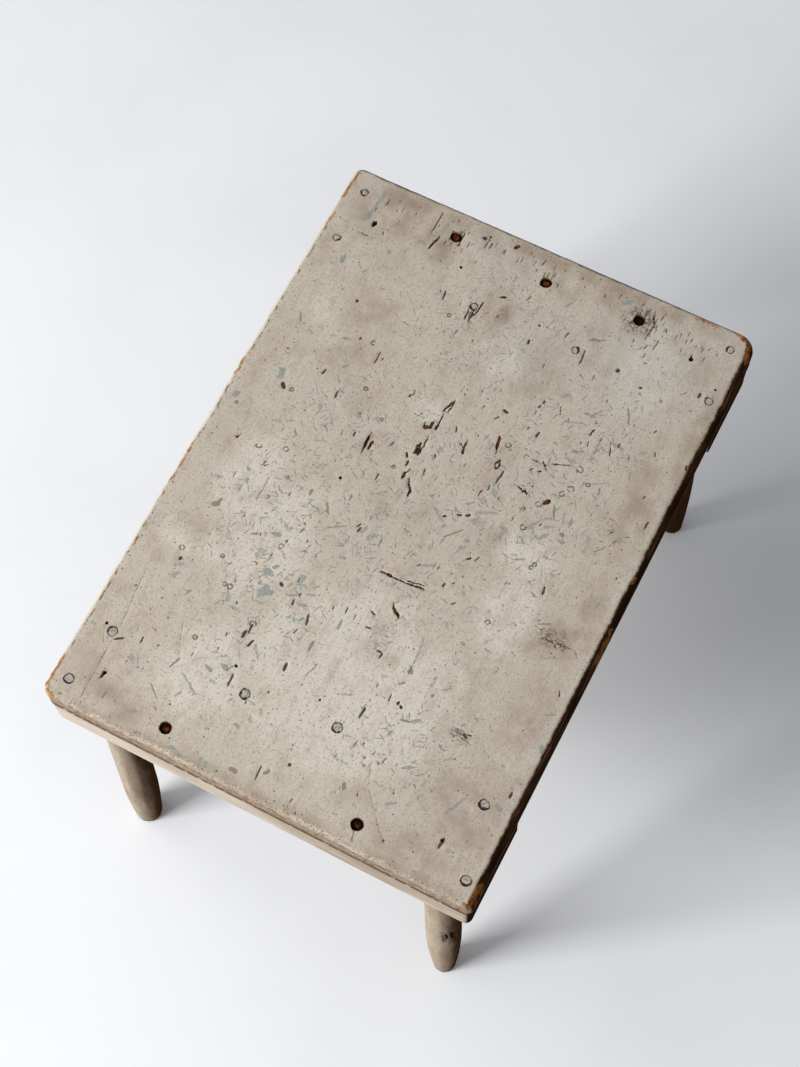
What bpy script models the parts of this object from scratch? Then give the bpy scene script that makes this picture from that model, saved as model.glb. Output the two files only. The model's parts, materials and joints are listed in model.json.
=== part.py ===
"""Farmhouse stool: a plank seat, nailed and screwed to two cross battens, on four splayed round legs.

Metres, +Z up. X runs along the seat and its grain, Y across it. The origin is on the floor, under the
middle of the seat. Left is -X, right is +X, front is -Y and back is +Y.
"""

import math
from collections import namedtuple

import bmesh
import bpy
from mathutils import Vector

# Seat board
STOOL_HEIGHT = 0.333
SEAT_LENGTH = 0.451
SEAT_WIDTH = 0.320
SEAT_THICKNESS = 0.019
SEAT_TOP_ROUND = 0.0032
SEAT_BOTTOM_ROUND = 0.0008
CORNER_FRONT_LEFT = 0.005
CORNER_FRONT_RIGHT = 0.013
CORNER_BACK_RIGHT = 0.007
CORNER_BACK_LEFT = 0.008

# Battens, a hair proud of the seat's ends and a hair short of its long edges
BATTEN_WIDTH = 0.073
BATTEN_THICKNESS = 0.031
BATTEN_END_PROUD = 0.0005
BATTEN_SIDE_SETBACK = 0.0006
BATTEN_TOP_ROUND = 0.0008
BATTEN_BOTTOM_ROUND = 0.0018
BATTEN_INNER_CORNER = 0.002

# Legs: their axes meet the seat's top plane this far in from the long edges, and the feet lean out from there
LEG_FROM_EDGE = 0.035
LEG_SPLAY_X = 0.019
LEG_SPLAY_Y = 0.0115
LEG_DIAMETER = 0.0274
TENON_DIAMETER = 0.020
SHOULDER_HEIGHT = 0.004
TAPER_HEIGHT = 0.100
TAPER_POWER = 1.7
FOOT_DIAMETER = 0.019
FOOT_ROUND = 0.0025

# Nails with flat heads, which are smaller at the right end
LEFT_NAIL_HEAD_DIAMETER = 0.0064
RIGHT_NAIL_HEAD_DIAMETER = 0.0050
NAIL_HEAD_THICKNESS = 0.0012
NAIL_SHANK_DIAMETER = 0.0030
NAIL_POINT_LENGTH = 0.005
NAIL_TIP_COVER = 0.004
NAIL_SINK = 0.0003

# Slotted wood screws with countersunk heads
SCREW_HEAD_DIAMETER = 0.0074
SCREW_HEAD_RIM = 0.0004
SCREW_HEAD_HEIGHT = 0.0030
SCREW_SHANK_DIAMETER = 0.0040
SCREW_POINT_LENGTH = 0.009
SCREW_TIP_COVER = 0.008
SCREW_SLOT_WIDTH = 0.0011
SCREW_SLOT_DEPTH = 0.0010
SCREW_SINK = 0.0020

# Finishing nails that pin the leg tenons from above
PIN_HEAD_DIAMETER = 0.0034
PIN_HEAD_RIM = 0.0008
PIN_HEAD_HEIGHT = 0.0018
PIN_SHANK_DIAMETER = 0.0024
PIN_POINT_LENGTH = 0.004
PIN_TENON_BITE = 0.019
PIN_SINK = 0.0018

# Gap kept between pieces that touch
FIT_GAP = 0.0003

# Facets
CORNER_STEPS = 6
ROUND_SEGMENTS = 3
LEG_STEPS = 28
TAPER_POINTS = 8
FOOT_ROUND_POINTS = 3
FASTENER_STEPS = 16
FLAT_ANGLE = math.radians(1)
SMOOTH_ANGLE = math.radians(35)
MERGE = 0.00001
CUTTER_OVERRUN = 0.005

LEFT, RIGHT = -1, 1
FRONT, BACK = -1, 1

# The legs were shaped and fitted by hand, so each differs a little: how far its axis is outside the middle of
# its batten, and what it adds to the distance from the edge, the two leans, the taper and the foot.
Leg = namedtuple("Leg", "name end side outward more_from_edge more_splay_x more_splay_y more_taper more_foot")
LEGS = (
    Leg("back_left", LEFT, BACK, 0.0055, -0.0025, -0.0005, -0.0017, -0.015, 0.0022),
    Leg("front_left", LEFT, FRONT, 0.0035, 0.0020, 0.0007, -0.0012, 0.0, -0.0010),
    Leg("front_right", RIGHT, FRONT, 0.0015, 0.0020, -0.0020, 0.0031, 0.020, -0.0010),
    Leg("back_right", RIGHT, BACK, -0.0015, -0.0010, 0.0015, -0.0008, 0.0, 0.0005),
)

# Nails near the seat's corners: in from the end and from the long edge.
EdgeNail = namedtuple("EdgeNail", "name end side inset from_edge")
OUTER_NAILS = (
    EdgeNail("back_left", LEFT, BACK, 0.0160, 0.0133),
    EdgeNail("front_left", LEFT, FRONT, 0.0160, 0.0115),
    EdgeNail("front_right", RIGHT, FRONT, 0.0153, 0.0155),
    EdgeNail("back_right", RIGHT, BACK, 0.0180, 0.0150),
)

# Nails along the battens' inner faces: out from that face, and in from the long edge.
INNER_NAILS = (
    EdgeNail("back_left", LEFT, BACK, 0.0145, 0.0223),
    EdgeNail("front_left", LEFT, FRONT, 0.0072, 0.0233),
    EdgeNail("front_right", RIGHT, FRONT, 0.0140, 0.0125),
    EdgeNail("back_right", RIGHT, BACK, 0.0125, 0.0145),
)

# Nails in the middle of the battens: out from the inner face, and across from the seat's middle line.
MiddleFastener = namedtuple("MiddleFastener", "name end inset across")
MIDDLE_NAILS = (
    MiddleFastener("back_left", LEFT, 0.0125, 0.0372),
    MiddleFastener("front_left", LEFT, 0.0050, -0.0282),
    MiddleFastener("front_right", RIGHT, 0.0082, -0.0477),
    MiddleFastener("back_right", RIGHT, 0.0067, 0.0317),
)

# Screws: in from the seat's end, across from its middle line.
SCREWS = (
    MiddleFastener("back_left", LEFT, 0.0160, 0.0725),
    MiddleFastener("front_left", LEFT, 0.0165, -0.0697),
    MiddleFastener("front_right", RIGHT, 0.0228, -0.0777),
    MiddleFastener("middle_right", RIGHT, 0.0253, -0.0057),
    MiddleFastener("back_right", RIGHT, 0.0210, 0.0682),
)

# Heights that several pieces share
SEAT_UNDERSIDE = STOOL_HEIGHT - SEAT_THICKNESS
BATTEN_TOP = SEAT_UNDERSIDE - FIT_GAP
BATTEN_UNDERSIDE = BATTEN_TOP - BATTEN_THICKNESS
BATTEN_OUTER_X = SEAT_LENGTH / 2 + BATTEN_END_PROUD
BATTEN_INNER_X = BATTEN_OUTER_X - BATTEN_WIDTH
BATTEN_HALF_SPAN = SEAT_WIDTH / 2 - BATTEN_SIDE_SETBACK

# Colours, linear, with roughness and metallic value
SEAT_PAINT = ("seat_paint", (0.49, 0.44, 0.37), 0.62, 0.0)
BATTEN_PAINT = ("batten_paint", (0.52, 0.44, 0.35), 0.68, 0.0)
LEG_PAINT = ("leg_paint", (0.42, 0.35, 0.28), 0.66, 0.0)
NAIL_STEEL = ("painted_nail", (0.40, 0.37, 0.33), 0.55, 0.2)
RUSTY_STEEL = ("rusty_screw", (0.20, 0.08, 0.03), 0.80, 0.4)
DARK_STEEL = ("dark_pin", (0.05, 0.04, 0.035), 0.70, 0.6)


def clear_scene():
    for obj in list(bpy.data.objects):
        bpy.data.objects.remove(obj)


def new_collection(name, parent):
    collection = bpy.data.collections.new(name)
    parent.children.link(collection)
    return collection


def make_material(finish):
    name, colour, roughness, metallic = finish
    material = bpy.data.materials.get(name)
    if material:
        return material
    material = bpy.data.materials.new(name)
    material.use_nodes = True
    shader = material.node_tree.nodes["Principled BSDF"]
    shader.inputs["Base Color"].default_value = (*colour, 1)
    shader.inputs["Roughness"].default_value = roughness
    shader.inputs["Metallic"].default_value = metallic
    return material


def evaluated_mesh(obj):
    """The object's mesh with its modifiers in it."""
    bpy.context.view_layer.update()
    graph = bpy.context.evaluated_depsgraph_get()
    return bpy.data.meshes.new_from_object(obj.evaluated_get(graph))


def add_part(name, mesh, finish, location=(0, 0, 0)):
    """A sub-part in the stool's collection, carried by the stool's empty."""
    part = bpy.data.objects.new(name, mesh)
    mesh.materials.clear()
    mesh.materials.append(make_material(finish))
    part.location = location
    part.parent = stool_empty
    stool.objects.link(part)
    return part


def add_cutter(name, mesh, collections, location=(0, 0, 0)):
    """A wire shape that only cuts other pieces."""
    cutter = bpy.data.objects.new(name, mesh)
    cutter.location = location
    cutter.hide_render = True
    cutter.display_type = "WIRE"
    for collection in collections:
        collection.objects.link(cutter)
    return cutter


def cut(part, operation, cutter=None, collection=None):
    boolean = part.modifiers.new(operation.lower(), "BOOLEAN")
    boolean.operation = operation
    boolean.solver = "EXACT"
    if collection:
        boolean.operand_type = "COLLECTION"
        boolean.collection = collection
    else:
        boolean.object = cutter


def settle(part):
    """Puts the modifiers into the mesh, and shades it smooth but for its hard edges."""
    mesh = evaluated_mesh(part)
    part.modifiers.clear()
    part.data = mesh
    mesh.shade_smooth()
    mesh.set_sharp_from_angle(angle=SMOOTH_ANGLE)


def turned_mesh(name, profile, steps):
    """A turned solid. The profile runs from the axis at the top, down the outer side, to the axis again."""
    mesh = bpy.data.meshes.new(name)
    line = bmesh.new()
    points = [line.verts.new((radius, 0, height)) for radius, height in profile]
    for upper, lower in zip(points, points[1:]):
        line.edges.new((upper, lower))
    line.to_mesh(mesh)
    line.free()
    blank = bpy.data.objects.new(name, mesh)
    bpy.context.scene.collection.objects.link(blank)
    spin = blank.modifiers.new("spin", "SCREW")
    spin.steps = steps
    spin.render_steps = steps
    spin.use_merge_vertices = True
    spin.merge_threshold = MERGE
    solid = evaluated_mesh(blank)
    bpy.data.objects.remove(blank)
    solid.shade_smooth()
    solid.set_sharp_from_angle(angle=SMOOTH_ANGLE)
    return solid


def rounded_outline(left, right, front, back, corners):
    """Points round a rectangle whose corners, from front left anticlockwise, have these radii."""
    front_left, front_right, back_right, back_left = corners
    centres = (
        (left + front_left, front + front_left, front_left),
        (right - front_right, front + front_right, front_right),
        (right - back_right, back - back_right, back_right),
        (left + back_left, back - back_left, back_left),
    )
    outline = []
    for quarter, (x, y, radius) in enumerate(centres):
        for step in range(CORNER_STEPS + 1):
            angle = math.pi + math.pi / 2 * (quarter + step / CORNER_STEPS)
            outline.append((x + radius * math.cos(angle), y + radius * math.sin(angle)))
    return outline


def plank_mesh(name, outline, thickness):
    """A flat outline with this thickness, from z = 0 up, as a mesh with one face on each flat side."""
    curve = bpy.data.curves.new(name, "CURVE")
    curve.dimensions = "2D"
    curve.fill_mode = "BOTH"
    curve.extrude = thickness / 2
    spline = curve.splines.new("POLY")
    spline.points.add(len(outline) - 1)
    for point, (x, y) in zip(spline.points, outline):
        point.co = (x, y, 0, 1)
    spline.use_cyclic_u = True
    guide = bpy.data.objects.new(name, curve)
    bpy.context.scene.collection.objects.link(guide)
    mesh = evaluated_mesh(guide)
    bpy.data.objects.remove(guide)
    solid = bmesh.new()
    solid.from_mesh(mesh)
    bmesh.ops.remove_doubles(solid, verts=solid.verts, dist=MERGE)
    bmesh.ops.dissolve_limit(solid, angle_limit=FLAT_ANGLE, verts=solid.verts, edges=solid.edges)
    bmesh.ops.recalc_face_normals(solid, faces=solid.faces)
    bmesh.ops.translate(solid, verts=solid.verts, vec=(0, 0, thickness / 2))
    solid.to_mesh(mesh)
    solid.free()
    return mesh


def ease_rim(part, top_round, bottom_round):
    """Rounds the edges round a plank's two flat sides, each by its own amount."""
    widest = max(top_round, bottom_round)
    middle = sum(vertex.co.z for vertex in part.data.vertices) / len(part.data.vertices)
    weights = part.data.attributes.new("bevel_weight_edge", "FLOAT", "EDGE")
    for edge in part.data.edges:
        heights = [part.data.vertices[index].co.z - middle for index in edge.vertices]
        if min(heights) > 0:
            weights.data[edge.index].value = top_round / widest
        elif max(heights) < 0:
            weights.data[edge.index].value = bottom_round / widest
    bevel = part.modifiers.new("rim", "BEVEL")
    bevel.limit_method = "WEIGHT"
    bevel.width = widest
    bevel.segments = ROUND_SEGMENTS


def fastener_profile(head, rim, head_height, shank, length, point):
    """Outline of a nail or screw, with the top of its head at height 0."""
    return [
        (0, 0),
        (head / 2, 0),
        (head / 2, -rim),
        (shank / 2, -head_height),
        (shank / 2, point - length),
        (0, -length),
    ]


def hole_profile(head, rim, head_height, shank, length, point, sink):
    """The same outline grown by the fit gap and open to above the seat, which the head lies below."""
    grown_shank = shank + 2 * FIT_GAP
    grown_point = point * grown_shank / shank
    grown_length = length - point + FIT_GAP + grown_point
    profile = fastener_profile(
        head + 2 * FIT_GAP, rim + FIT_GAP, head_height + FIT_GAP, grown_shank, grown_length, grown_point
    )
    mouth = sink + CUTTER_OVERRUN
    return [(0, mouth), (head / 2 + FIT_GAP, mouth)] + profile[2:]


def end_x(end, inset):
    return end * (SEAT_LENGTH / 2 - inset)


def inner_face_x(end, inset):
    return end * (BATTEN_INNER_X + inset)


def edge_y(side, inset):
    return side * (SEAT_WIDTH / 2 - inset)


def leg_top(leg):
    """Where the leg's axis meets the plane of the seat's top."""
    batten_middle = (BATTEN_OUTER_X + BATTEN_INNER_X) / 2
    x = leg.end * (batten_middle + leg.outward)
    y = edge_y(leg.side, LEG_FROM_EDGE + leg.more_from_edge)
    return Vector((x, y, STOOL_HEIGHT))


def leg_foot(leg):
    top = leg_top(leg)
    lean_x = LEG_SPLAY_X + leg.more_splay_x
    lean_y = LEG_SPLAY_Y + leg.more_splay_y
    return Vector((top.x + leg.end * lean_x, top.y + leg.side * lean_y, 0))


def make_seat():
    corners = (CORNER_FRONT_LEFT, CORNER_FRONT_RIGHT, CORNER_BACK_RIGHT, CORNER_BACK_LEFT)
    outline = rounded_outline(
        -SEAT_LENGTH / 2, SEAT_LENGTH / 2, -SEAT_WIDTH / 2, SEAT_WIDTH / 2, corners
    )
    mesh = plank_mesh("seat_board", outline, SEAT_THICKNESS)
    seat = add_part("seat_board", mesh, SEAT_PAINT, (0, 0, SEAT_UNDERSIDE))
    ease_rim(seat, SEAT_TOP_ROUND, SEAT_BOTTOM_ROUND)
    cut(seat, "DIFFERENCE", collection=seat_holes)
    settle(seat)


def make_batten(name, end, outer_front, outer_back):
    """A batten under one end, whose outer corners follow the seat's."""
    inner = BATTEN_INNER_CORNER
    if end == LEFT:
        span = (-BATTEN_OUTER_X, -BATTEN_INNER_X)
        corners = (outer_front, inner, inner, outer_back)
    else:
        span = (BATTEN_INNER_X, BATTEN_OUTER_X)
        corners = (inner, outer_front, outer_back, inner)
    outline = rounded_outline(*span, -BATTEN_HALF_SPAN, BATTEN_HALF_SPAN, corners)
    mesh = plank_mesh(name, outline, BATTEN_THICKNESS)
    batten = add_part(name, mesh, BATTEN_PAINT, (0, 0, BATTEN_UNDERSIDE))
    ease_rim(batten, BATTEN_TOP_ROUND, BATTEN_BOTTOM_ROUND)
    cut(batten, "DIFFERENCE", collection=batten_holes[end])
    settle(batten)


def leg_profile(leg, tilt):
    """A leg's outline along its axis, floor at height 0: tenon, shoulder, shaft, taper and foot."""
    shaft, tenon, foot = LEG_DIAMETER / 2, TENON_DIAMETER / 2, (FOOT_DIAMETER + leg.more_foot) / 2
    taper = TAPER_HEIGHT + leg.more_taper
    along = 1 / math.cos(tilt)
    tenon_end = BATTEN_TOP * along + tenon * math.tan(tilt) + CUTTER_OVERRUN
    tenon_base = (BATTEN_UNDERSIDE - FIT_GAP) * along - tenon * math.tan(tilt)
    profile = [(0, tenon_end), (tenon, tenon_end), (tenon, tenon_base)]
    profile.append((shaft, tenon_base - SHOULDER_HEIGHT))
    sole = -foot * math.tan(tilt)
    for point in range(TAPER_POINTS):
        height = taper + (sole + FOOT_ROUND - taper) * point / (TAPER_POINTS - 1)
        drawn_in = max(0, 1 - height / taper) ** TAPER_POWER
        profile.append((shaft - (shaft - foot) * drawn_in, height))
    rim = profile[-1][0]
    for point in range(1, FOOT_ROUND_POINTS + 1):
        angle = math.pi / 2 * point / FOOT_ROUND_POINTS
        turn = FOOT_ROUND * (1 - math.cos(angle))
        profile.append((rim - turn, sole + FOOT_ROUND * (1 - math.sin(angle))))
    profile.append((0, sole))
    return profile


def make_leg(leg, trim, pin_hole):
    """A leg on its leaning axis, its foot cut level with the floor and its tenon level with the batten."""
    foot = leg_foot(leg)
    axis = (leg_top(leg) - foot).normalized()
    tilt = axis.angle(Vector((0, 0, 1)))
    lean = axis.to_track_quat("Z", "Y")
    name = "leg_" + leg.name
    part = add_part(name, turned_mesh(name, leg_profile(leg, tilt), LEG_STEPS), LEG_PAINT, foot)
    part.rotation_mode = "QUATERNION"
    part.rotation_quaternion = lean
    cut(part, "INTERSECT", cutter=trim)
    cut(part, "DIFFERENCE", cutter=pin_hole)
    settle(part)


def make_socket(leg):
    """The bore for a leg's tenon, on the leg's leaning axis."""
    foot = leg_foot(leg)
    axis = (leg_top(leg) - foot).normalized()
    radius = TENON_DIAMETER / 2 + FIT_GAP
    low = BATTEN_UNDERSIDE - CUTTER_OVERRUN
    high = STOOL_HEIGHT
    profile = [(0, high), (radius, high), (radius, low), (0, low)]
    name = "socket_" + leg.name
    socket = add_cutter(name, turned_mesh(name, profile, LEG_STEPS), [batten_holes[leg.end]], foot)
    socket.rotation_mode = "QUATERNION"
    socket.rotation_quaternion = axis.to_track_quat("Z", "Y")


def make_trim():
    """A slab from the floor to the battens' top, which the legs are cut to."""
    shape = bmesh.new()
    bmesh.ops.create_cube(shape, size=1)
    size = Vector((SEAT_LENGTH * 2, SEAT_WIDTH * 2, BATTEN_TOP))
    bmesh.ops.scale(shape, vec=size, verts=shape.verts)
    bmesh.ops.translate(shape, vec=(0, 0, BATTEN_TOP / 2), verts=shape.verts)
    mesh = bpy.data.meshes.new("leg_trim")
    shape.to_mesh(mesh)
    shape.free()
    return add_cutter("leg_trim", mesh, [cutters])


def make_nails():
    length = SEAT_THICKNESS + FIT_GAP + BATTEN_THICKNESS - NAIL_SINK - NAIL_TIP_COVER
    meshes = {}
    holes = {}
    for end, head in ((LEFT, LEFT_NAIL_HEAD_DIAMETER), (RIGHT, RIGHT_NAIL_HEAD_DIAMETER)):
        sizes = (head, NAIL_HEAD_THICKNESS, NAIL_HEAD_THICKNESS, NAIL_SHANK_DIAMETER)
        profile = fastener_profile(*sizes, length, NAIL_POINT_LENGTH)
        meshes[end] = turned_mesh("nail", profile, FASTENER_STEPS)
        profile = hole_profile(*sizes, length, NAIL_POINT_LENGTH, NAIL_SINK)
        holes[end] = turned_mesh("nail_hole", profile, FASTENER_STEPS)
    places = [
        ("outer_" + n.name, n.end, end_x(n.end, n.inset), edge_y(n.side, n.from_edge))
        for n in OUTER_NAILS
    ]
    places += [
        ("inner_" + n.name, n.end, inner_face_x(n.end, n.inset), edge_y(n.side, n.from_edge))
        for n in INNER_NAILS
    ]
    places += [("middle_" + n.name, n.end, inner_face_x(n.end, n.inset), n.across) for n in MIDDLE_NAILS]
    for name, end, x, y in places:
        location = (x, y, STOOL_HEIGHT - NAIL_SINK)
        add_part("nail_" + name, meshes[end], NAIL_STEEL, location)
        add_cutter("nail_hole_" + name, holes[end], [seat_holes, batten_holes[end]], location)


def slotted_screw_mesh(profile):
    """A screw with a slot across its head."""
    blank = bpy.data.objects.new("screw", turned_mesh("screw", profile, FASTENER_STEPS))
    bpy.context.scene.collection.objects.link(blank)
    shape = bmesh.new()
    bmesh.ops.create_cube(shape, size=1)
    size = (SCREW_HEAD_DIAMETER * 2, SCREW_SLOT_WIDTH, SCREW_SLOT_DEPTH * 2)
    bmesh.ops.scale(shape, vec=size, verts=shape.verts)
    slot_mesh = bpy.data.meshes.new("screw_slot")
    shape.to_mesh(slot_mesh)
    shape.free()
    slot = add_cutter("screw_slot", slot_mesh, [cutters])
    cut(blank, "DIFFERENCE", cutter=slot)
    settle(blank)
    mesh = blank.data
    bpy.data.objects.remove(blank)
    bpy.data.objects.remove(slot)
    return mesh


def make_screws():
    length = SEAT_THICKNESS + FIT_GAP + BATTEN_THICKNESS - SCREW_SINK - SCREW_TIP_COVER
    sizes = (SCREW_HEAD_DIAMETER, SCREW_HEAD_RIM, SCREW_HEAD_HEIGHT, SCREW_SHANK_DIAMETER)
    mesh = slotted_screw_mesh(fastener_profile(*sizes, length, SCREW_POINT_LENGTH))
    hole = turned_mesh(
        "screw_hole", hole_profile(*sizes, length, SCREW_POINT_LENGTH, SCREW_SINK), FASTENER_STEPS
    )
    for screw in SCREWS:
        location = (end_x(screw.end, screw.inset), screw.across, STOOL_HEIGHT - SCREW_SINK)
        add_part("screw_" + screw.name, mesh, RUSTY_STEEL, location)
        add_cutter("screw_hole_" + screw.name, hole, [seat_holes, batten_holes[screw.end]], location)


def make_pins():
    """A finishing nail through the seat into each tenon, right over the leg. Returns the holes by leg."""
    length = SEAT_THICKNESS + PIN_TENON_BITE - PIN_SINK
    sizes = (PIN_HEAD_DIAMETER, PIN_HEAD_RIM, PIN_HEAD_HEIGHT, PIN_SHANK_DIAMETER)
    mesh = turned_mesh("pin", fastener_profile(*sizes, length, PIN_POINT_LENGTH), FASTENER_STEPS)
    hole = turned_mesh("pin_hole", hole_profile(*sizes, length, PIN_POINT_LENGTH, PIN_SINK), FASTENER_STEPS)
    holes = {}
    for leg in LEGS:
        location = leg_top(leg) - Vector((0, 0, PIN_SINK))
        add_part("leg_pin_" + leg.name, mesh, DARK_STEEL, location)
        holes[leg.name] = add_cutter("pin_hole_" + leg.name, hole, [seat_holes], location)
    return holes


clear_scene()
stool = new_collection("farmhouse_stool", bpy.context.scene.collection)
cutters = new_collection("cutters", bpy.context.scene.collection)
seat_holes = new_collection("seat_holes", cutters)
batten_holes = {
    LEFT: new_collection("left_batten_holes", cutters),
    RIGHT: new_collection("right_batten_holes", cutters),
}
stool_empty = bpy.data.objects.new("stool_origin", None)
stool.objects.link(stool_empty)

make_nails()
make_screws()
pin_holes = make_pins()
leg_trim = make_trim()
for each_leg in LEGS:
    make_socket(each_leg)
    make_leg(each_leg, leg_trim, pin_holes[each_leg.name])
make_seat()
make_batten("batten_left", LEFT, CORNER_FRONT_LEFT, CORNER_BACK_LEFT)
make_batten("batten_right", RIGHT, CORNER_FRONT_RIGHT, CORNER_BACK_RIGHT)
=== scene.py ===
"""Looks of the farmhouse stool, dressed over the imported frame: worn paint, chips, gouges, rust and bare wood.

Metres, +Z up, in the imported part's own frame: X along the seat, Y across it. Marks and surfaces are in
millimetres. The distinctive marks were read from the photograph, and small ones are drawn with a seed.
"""

import json
import math
import random

import bpy
import numpy as np
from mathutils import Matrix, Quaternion, Vector, geometry, noise


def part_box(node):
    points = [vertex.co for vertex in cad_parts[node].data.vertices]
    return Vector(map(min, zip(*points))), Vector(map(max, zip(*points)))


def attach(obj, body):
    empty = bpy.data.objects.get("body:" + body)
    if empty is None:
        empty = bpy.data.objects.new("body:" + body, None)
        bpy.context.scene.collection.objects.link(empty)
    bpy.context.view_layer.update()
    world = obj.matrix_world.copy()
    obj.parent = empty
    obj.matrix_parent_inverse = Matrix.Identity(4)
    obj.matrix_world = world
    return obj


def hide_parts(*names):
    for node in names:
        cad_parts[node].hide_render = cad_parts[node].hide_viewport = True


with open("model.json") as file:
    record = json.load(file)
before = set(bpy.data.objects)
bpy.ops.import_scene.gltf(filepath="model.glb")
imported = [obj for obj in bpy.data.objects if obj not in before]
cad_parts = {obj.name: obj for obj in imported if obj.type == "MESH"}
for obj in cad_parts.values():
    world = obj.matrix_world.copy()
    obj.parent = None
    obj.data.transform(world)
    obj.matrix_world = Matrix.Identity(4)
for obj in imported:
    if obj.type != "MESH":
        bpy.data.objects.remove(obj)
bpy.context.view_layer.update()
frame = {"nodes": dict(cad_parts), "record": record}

MM = 0.001
BODY = "root"

# Camera, solved from the photograph's perspective
CAMERA_PLACE = Vector((-0.4416, -0.2569, 1.5839))
CAMERA_AIM = Vector((-0.0181, -0.0016, 0.333))
CAMERA_ROLL = math.radians(-3.866)
CAMERA_LENS = 66.76
SENSOR = 36.0

# Light: two soft windows to the left of the photograph, and a pale room. Bearing and rise in degrees, then
# distance, size and power
WINDOWS = (("window_low", 141, 34, 3.05, 1.17, 81.0), ("window_wide", 115, 49, 2.41, 2.31, 18.0))
ROOM_COLOUR = (0.94, 0.965, 1.0, 1)
ROOM_LIGHT = 0.34
ROOM_SEEN = 0.9
FLOOR_SIZE = 30.0
FLOOR_COLOUR = (0.87, 0.88, 0.90, 1)
FLOOR_DUST = (0.83, 0.84, 0.865, 1)
MATT = 0.0

# Paint and wood, linear colours
CREAM = (0.645, 0.592, 0.502, 1)
PUTTY = (0.545, 0.482, 0.40, 1)
DIRTY = (0.285, 0.212, 0.15, 1)
PALE = (0.72, 0.66, 0.575, 1)
COOL_GREY = (0.45, 0.44, 0.415, 1)
BLUE_COAT = (0.275, 0.315, 0.305, 1)
BLUE_GREEN = (0.22, 0.248, 0.22, 1)
GREY_COAT = (0.20, 0.18, 0.14, 1)
RING_GREY = (0.095, 0.075, 0.055, 1)
SCUFFED = (0.115, 0.08, 0.05, 1)
BROWN_WOOD = (0.085, 0.045, 0.026, 1)
BROWN_DARK = (0.030, 0.016, 0.009, 1)
DARK_WOOD = (0.018, 0.010, 0.006, 1)
RED_WOOD = (0.15, 0.056, 0.024, 1)
# Dirt and painted shade in the holes
HOLE_DIRT_AND_SHADE = (0.010, 0.007, 0.005, 1)
AMBER_WOOD = (0.28, 0.135, 0.048, 1)
AMBER_PALE = (0.46, 0.26, 0.12, 1)
AMBER_DARK = (0.085, 0.038, 0.014, 1)
FRONT_BLACK = (0.028, 0.013, 0.007, 1)
FRONT_EDGE = (0.022, 0.009, 0.004, 1)
FRONT_STREAK = (0.12, 0.058, 0.027, 1)
FRONT_SOFT = (0.22, 0.18, 0.14, 1)
FRONT_AMBER = (0.20, 0.082, 0.02, 1)
# Painted highlight on the back arris
BACK_RIM_HIGHLIGHT = (0.72, 0.65, 0.56, 1)
# Painted highlight on the near arris
ARRIS_HIGHLIGHT = (0.80, 0.72, 0.58, 1)
# Edge wear and painted shade on the far arris
FAR_RIM_WEAR_AND_SHADE = (0.15, 0.13, 0.11, 1)
END_GRAIN = (0.37, 0.275, 0.19, 1)
END_TAN = (0.47, 0.375, 0.28, 1)
END_DARK = (0.15, 0.10, 0.064, 1)
# Painted shade where the batten meets the seat
SEAM_SHADE = (0.07, 0.042, 0.026, 1)
BATTEN_CREAM = (0.62, 0.54, 0.445, 1)
BATTEN_TAN = (0.48, 0.395, 0.316, 1)
BATTEN_BROWN = (0.27, 0.19, 0.13, 1)
LEG_PALE = (0.50, 0.415, 0.325, 1)
LEG_TAN = (0.39, 0.31, 0.235, 1)
LEG_BROWN = (0.19, 0.13, 0.085, 1)
LEG_DARK = (0.048, 0.022, 0.009, 1)
RAW_WOOD = (0.20, 0.125, 0.07, 1)
RAW_DARK = (0.09, 0.055, 0.032, 1)
RUST = (0.17, 0.05, 0.010, 1)
RUST_DEEP = (0.05, 0.014, 0.004, 1)
# Black rust, and painted shade at the rims of the sunken screw heads
RUST_DARK_AND_SHADE = (0.015, 0.006, 0.003, 1)
RUST_STAIN = (0.24, 0.13, 0.06, 1)
NAIL_PAINT = (0.46, 0.41, 0.35, 1)
NAIL_GREY = (0.28, 0.255, 0.22, 1)
NAIL_RING = (0.038, 0.030, 0.023, 1)
PIN_IRON = (0.012, 0.009, 0.007, 1)

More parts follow.
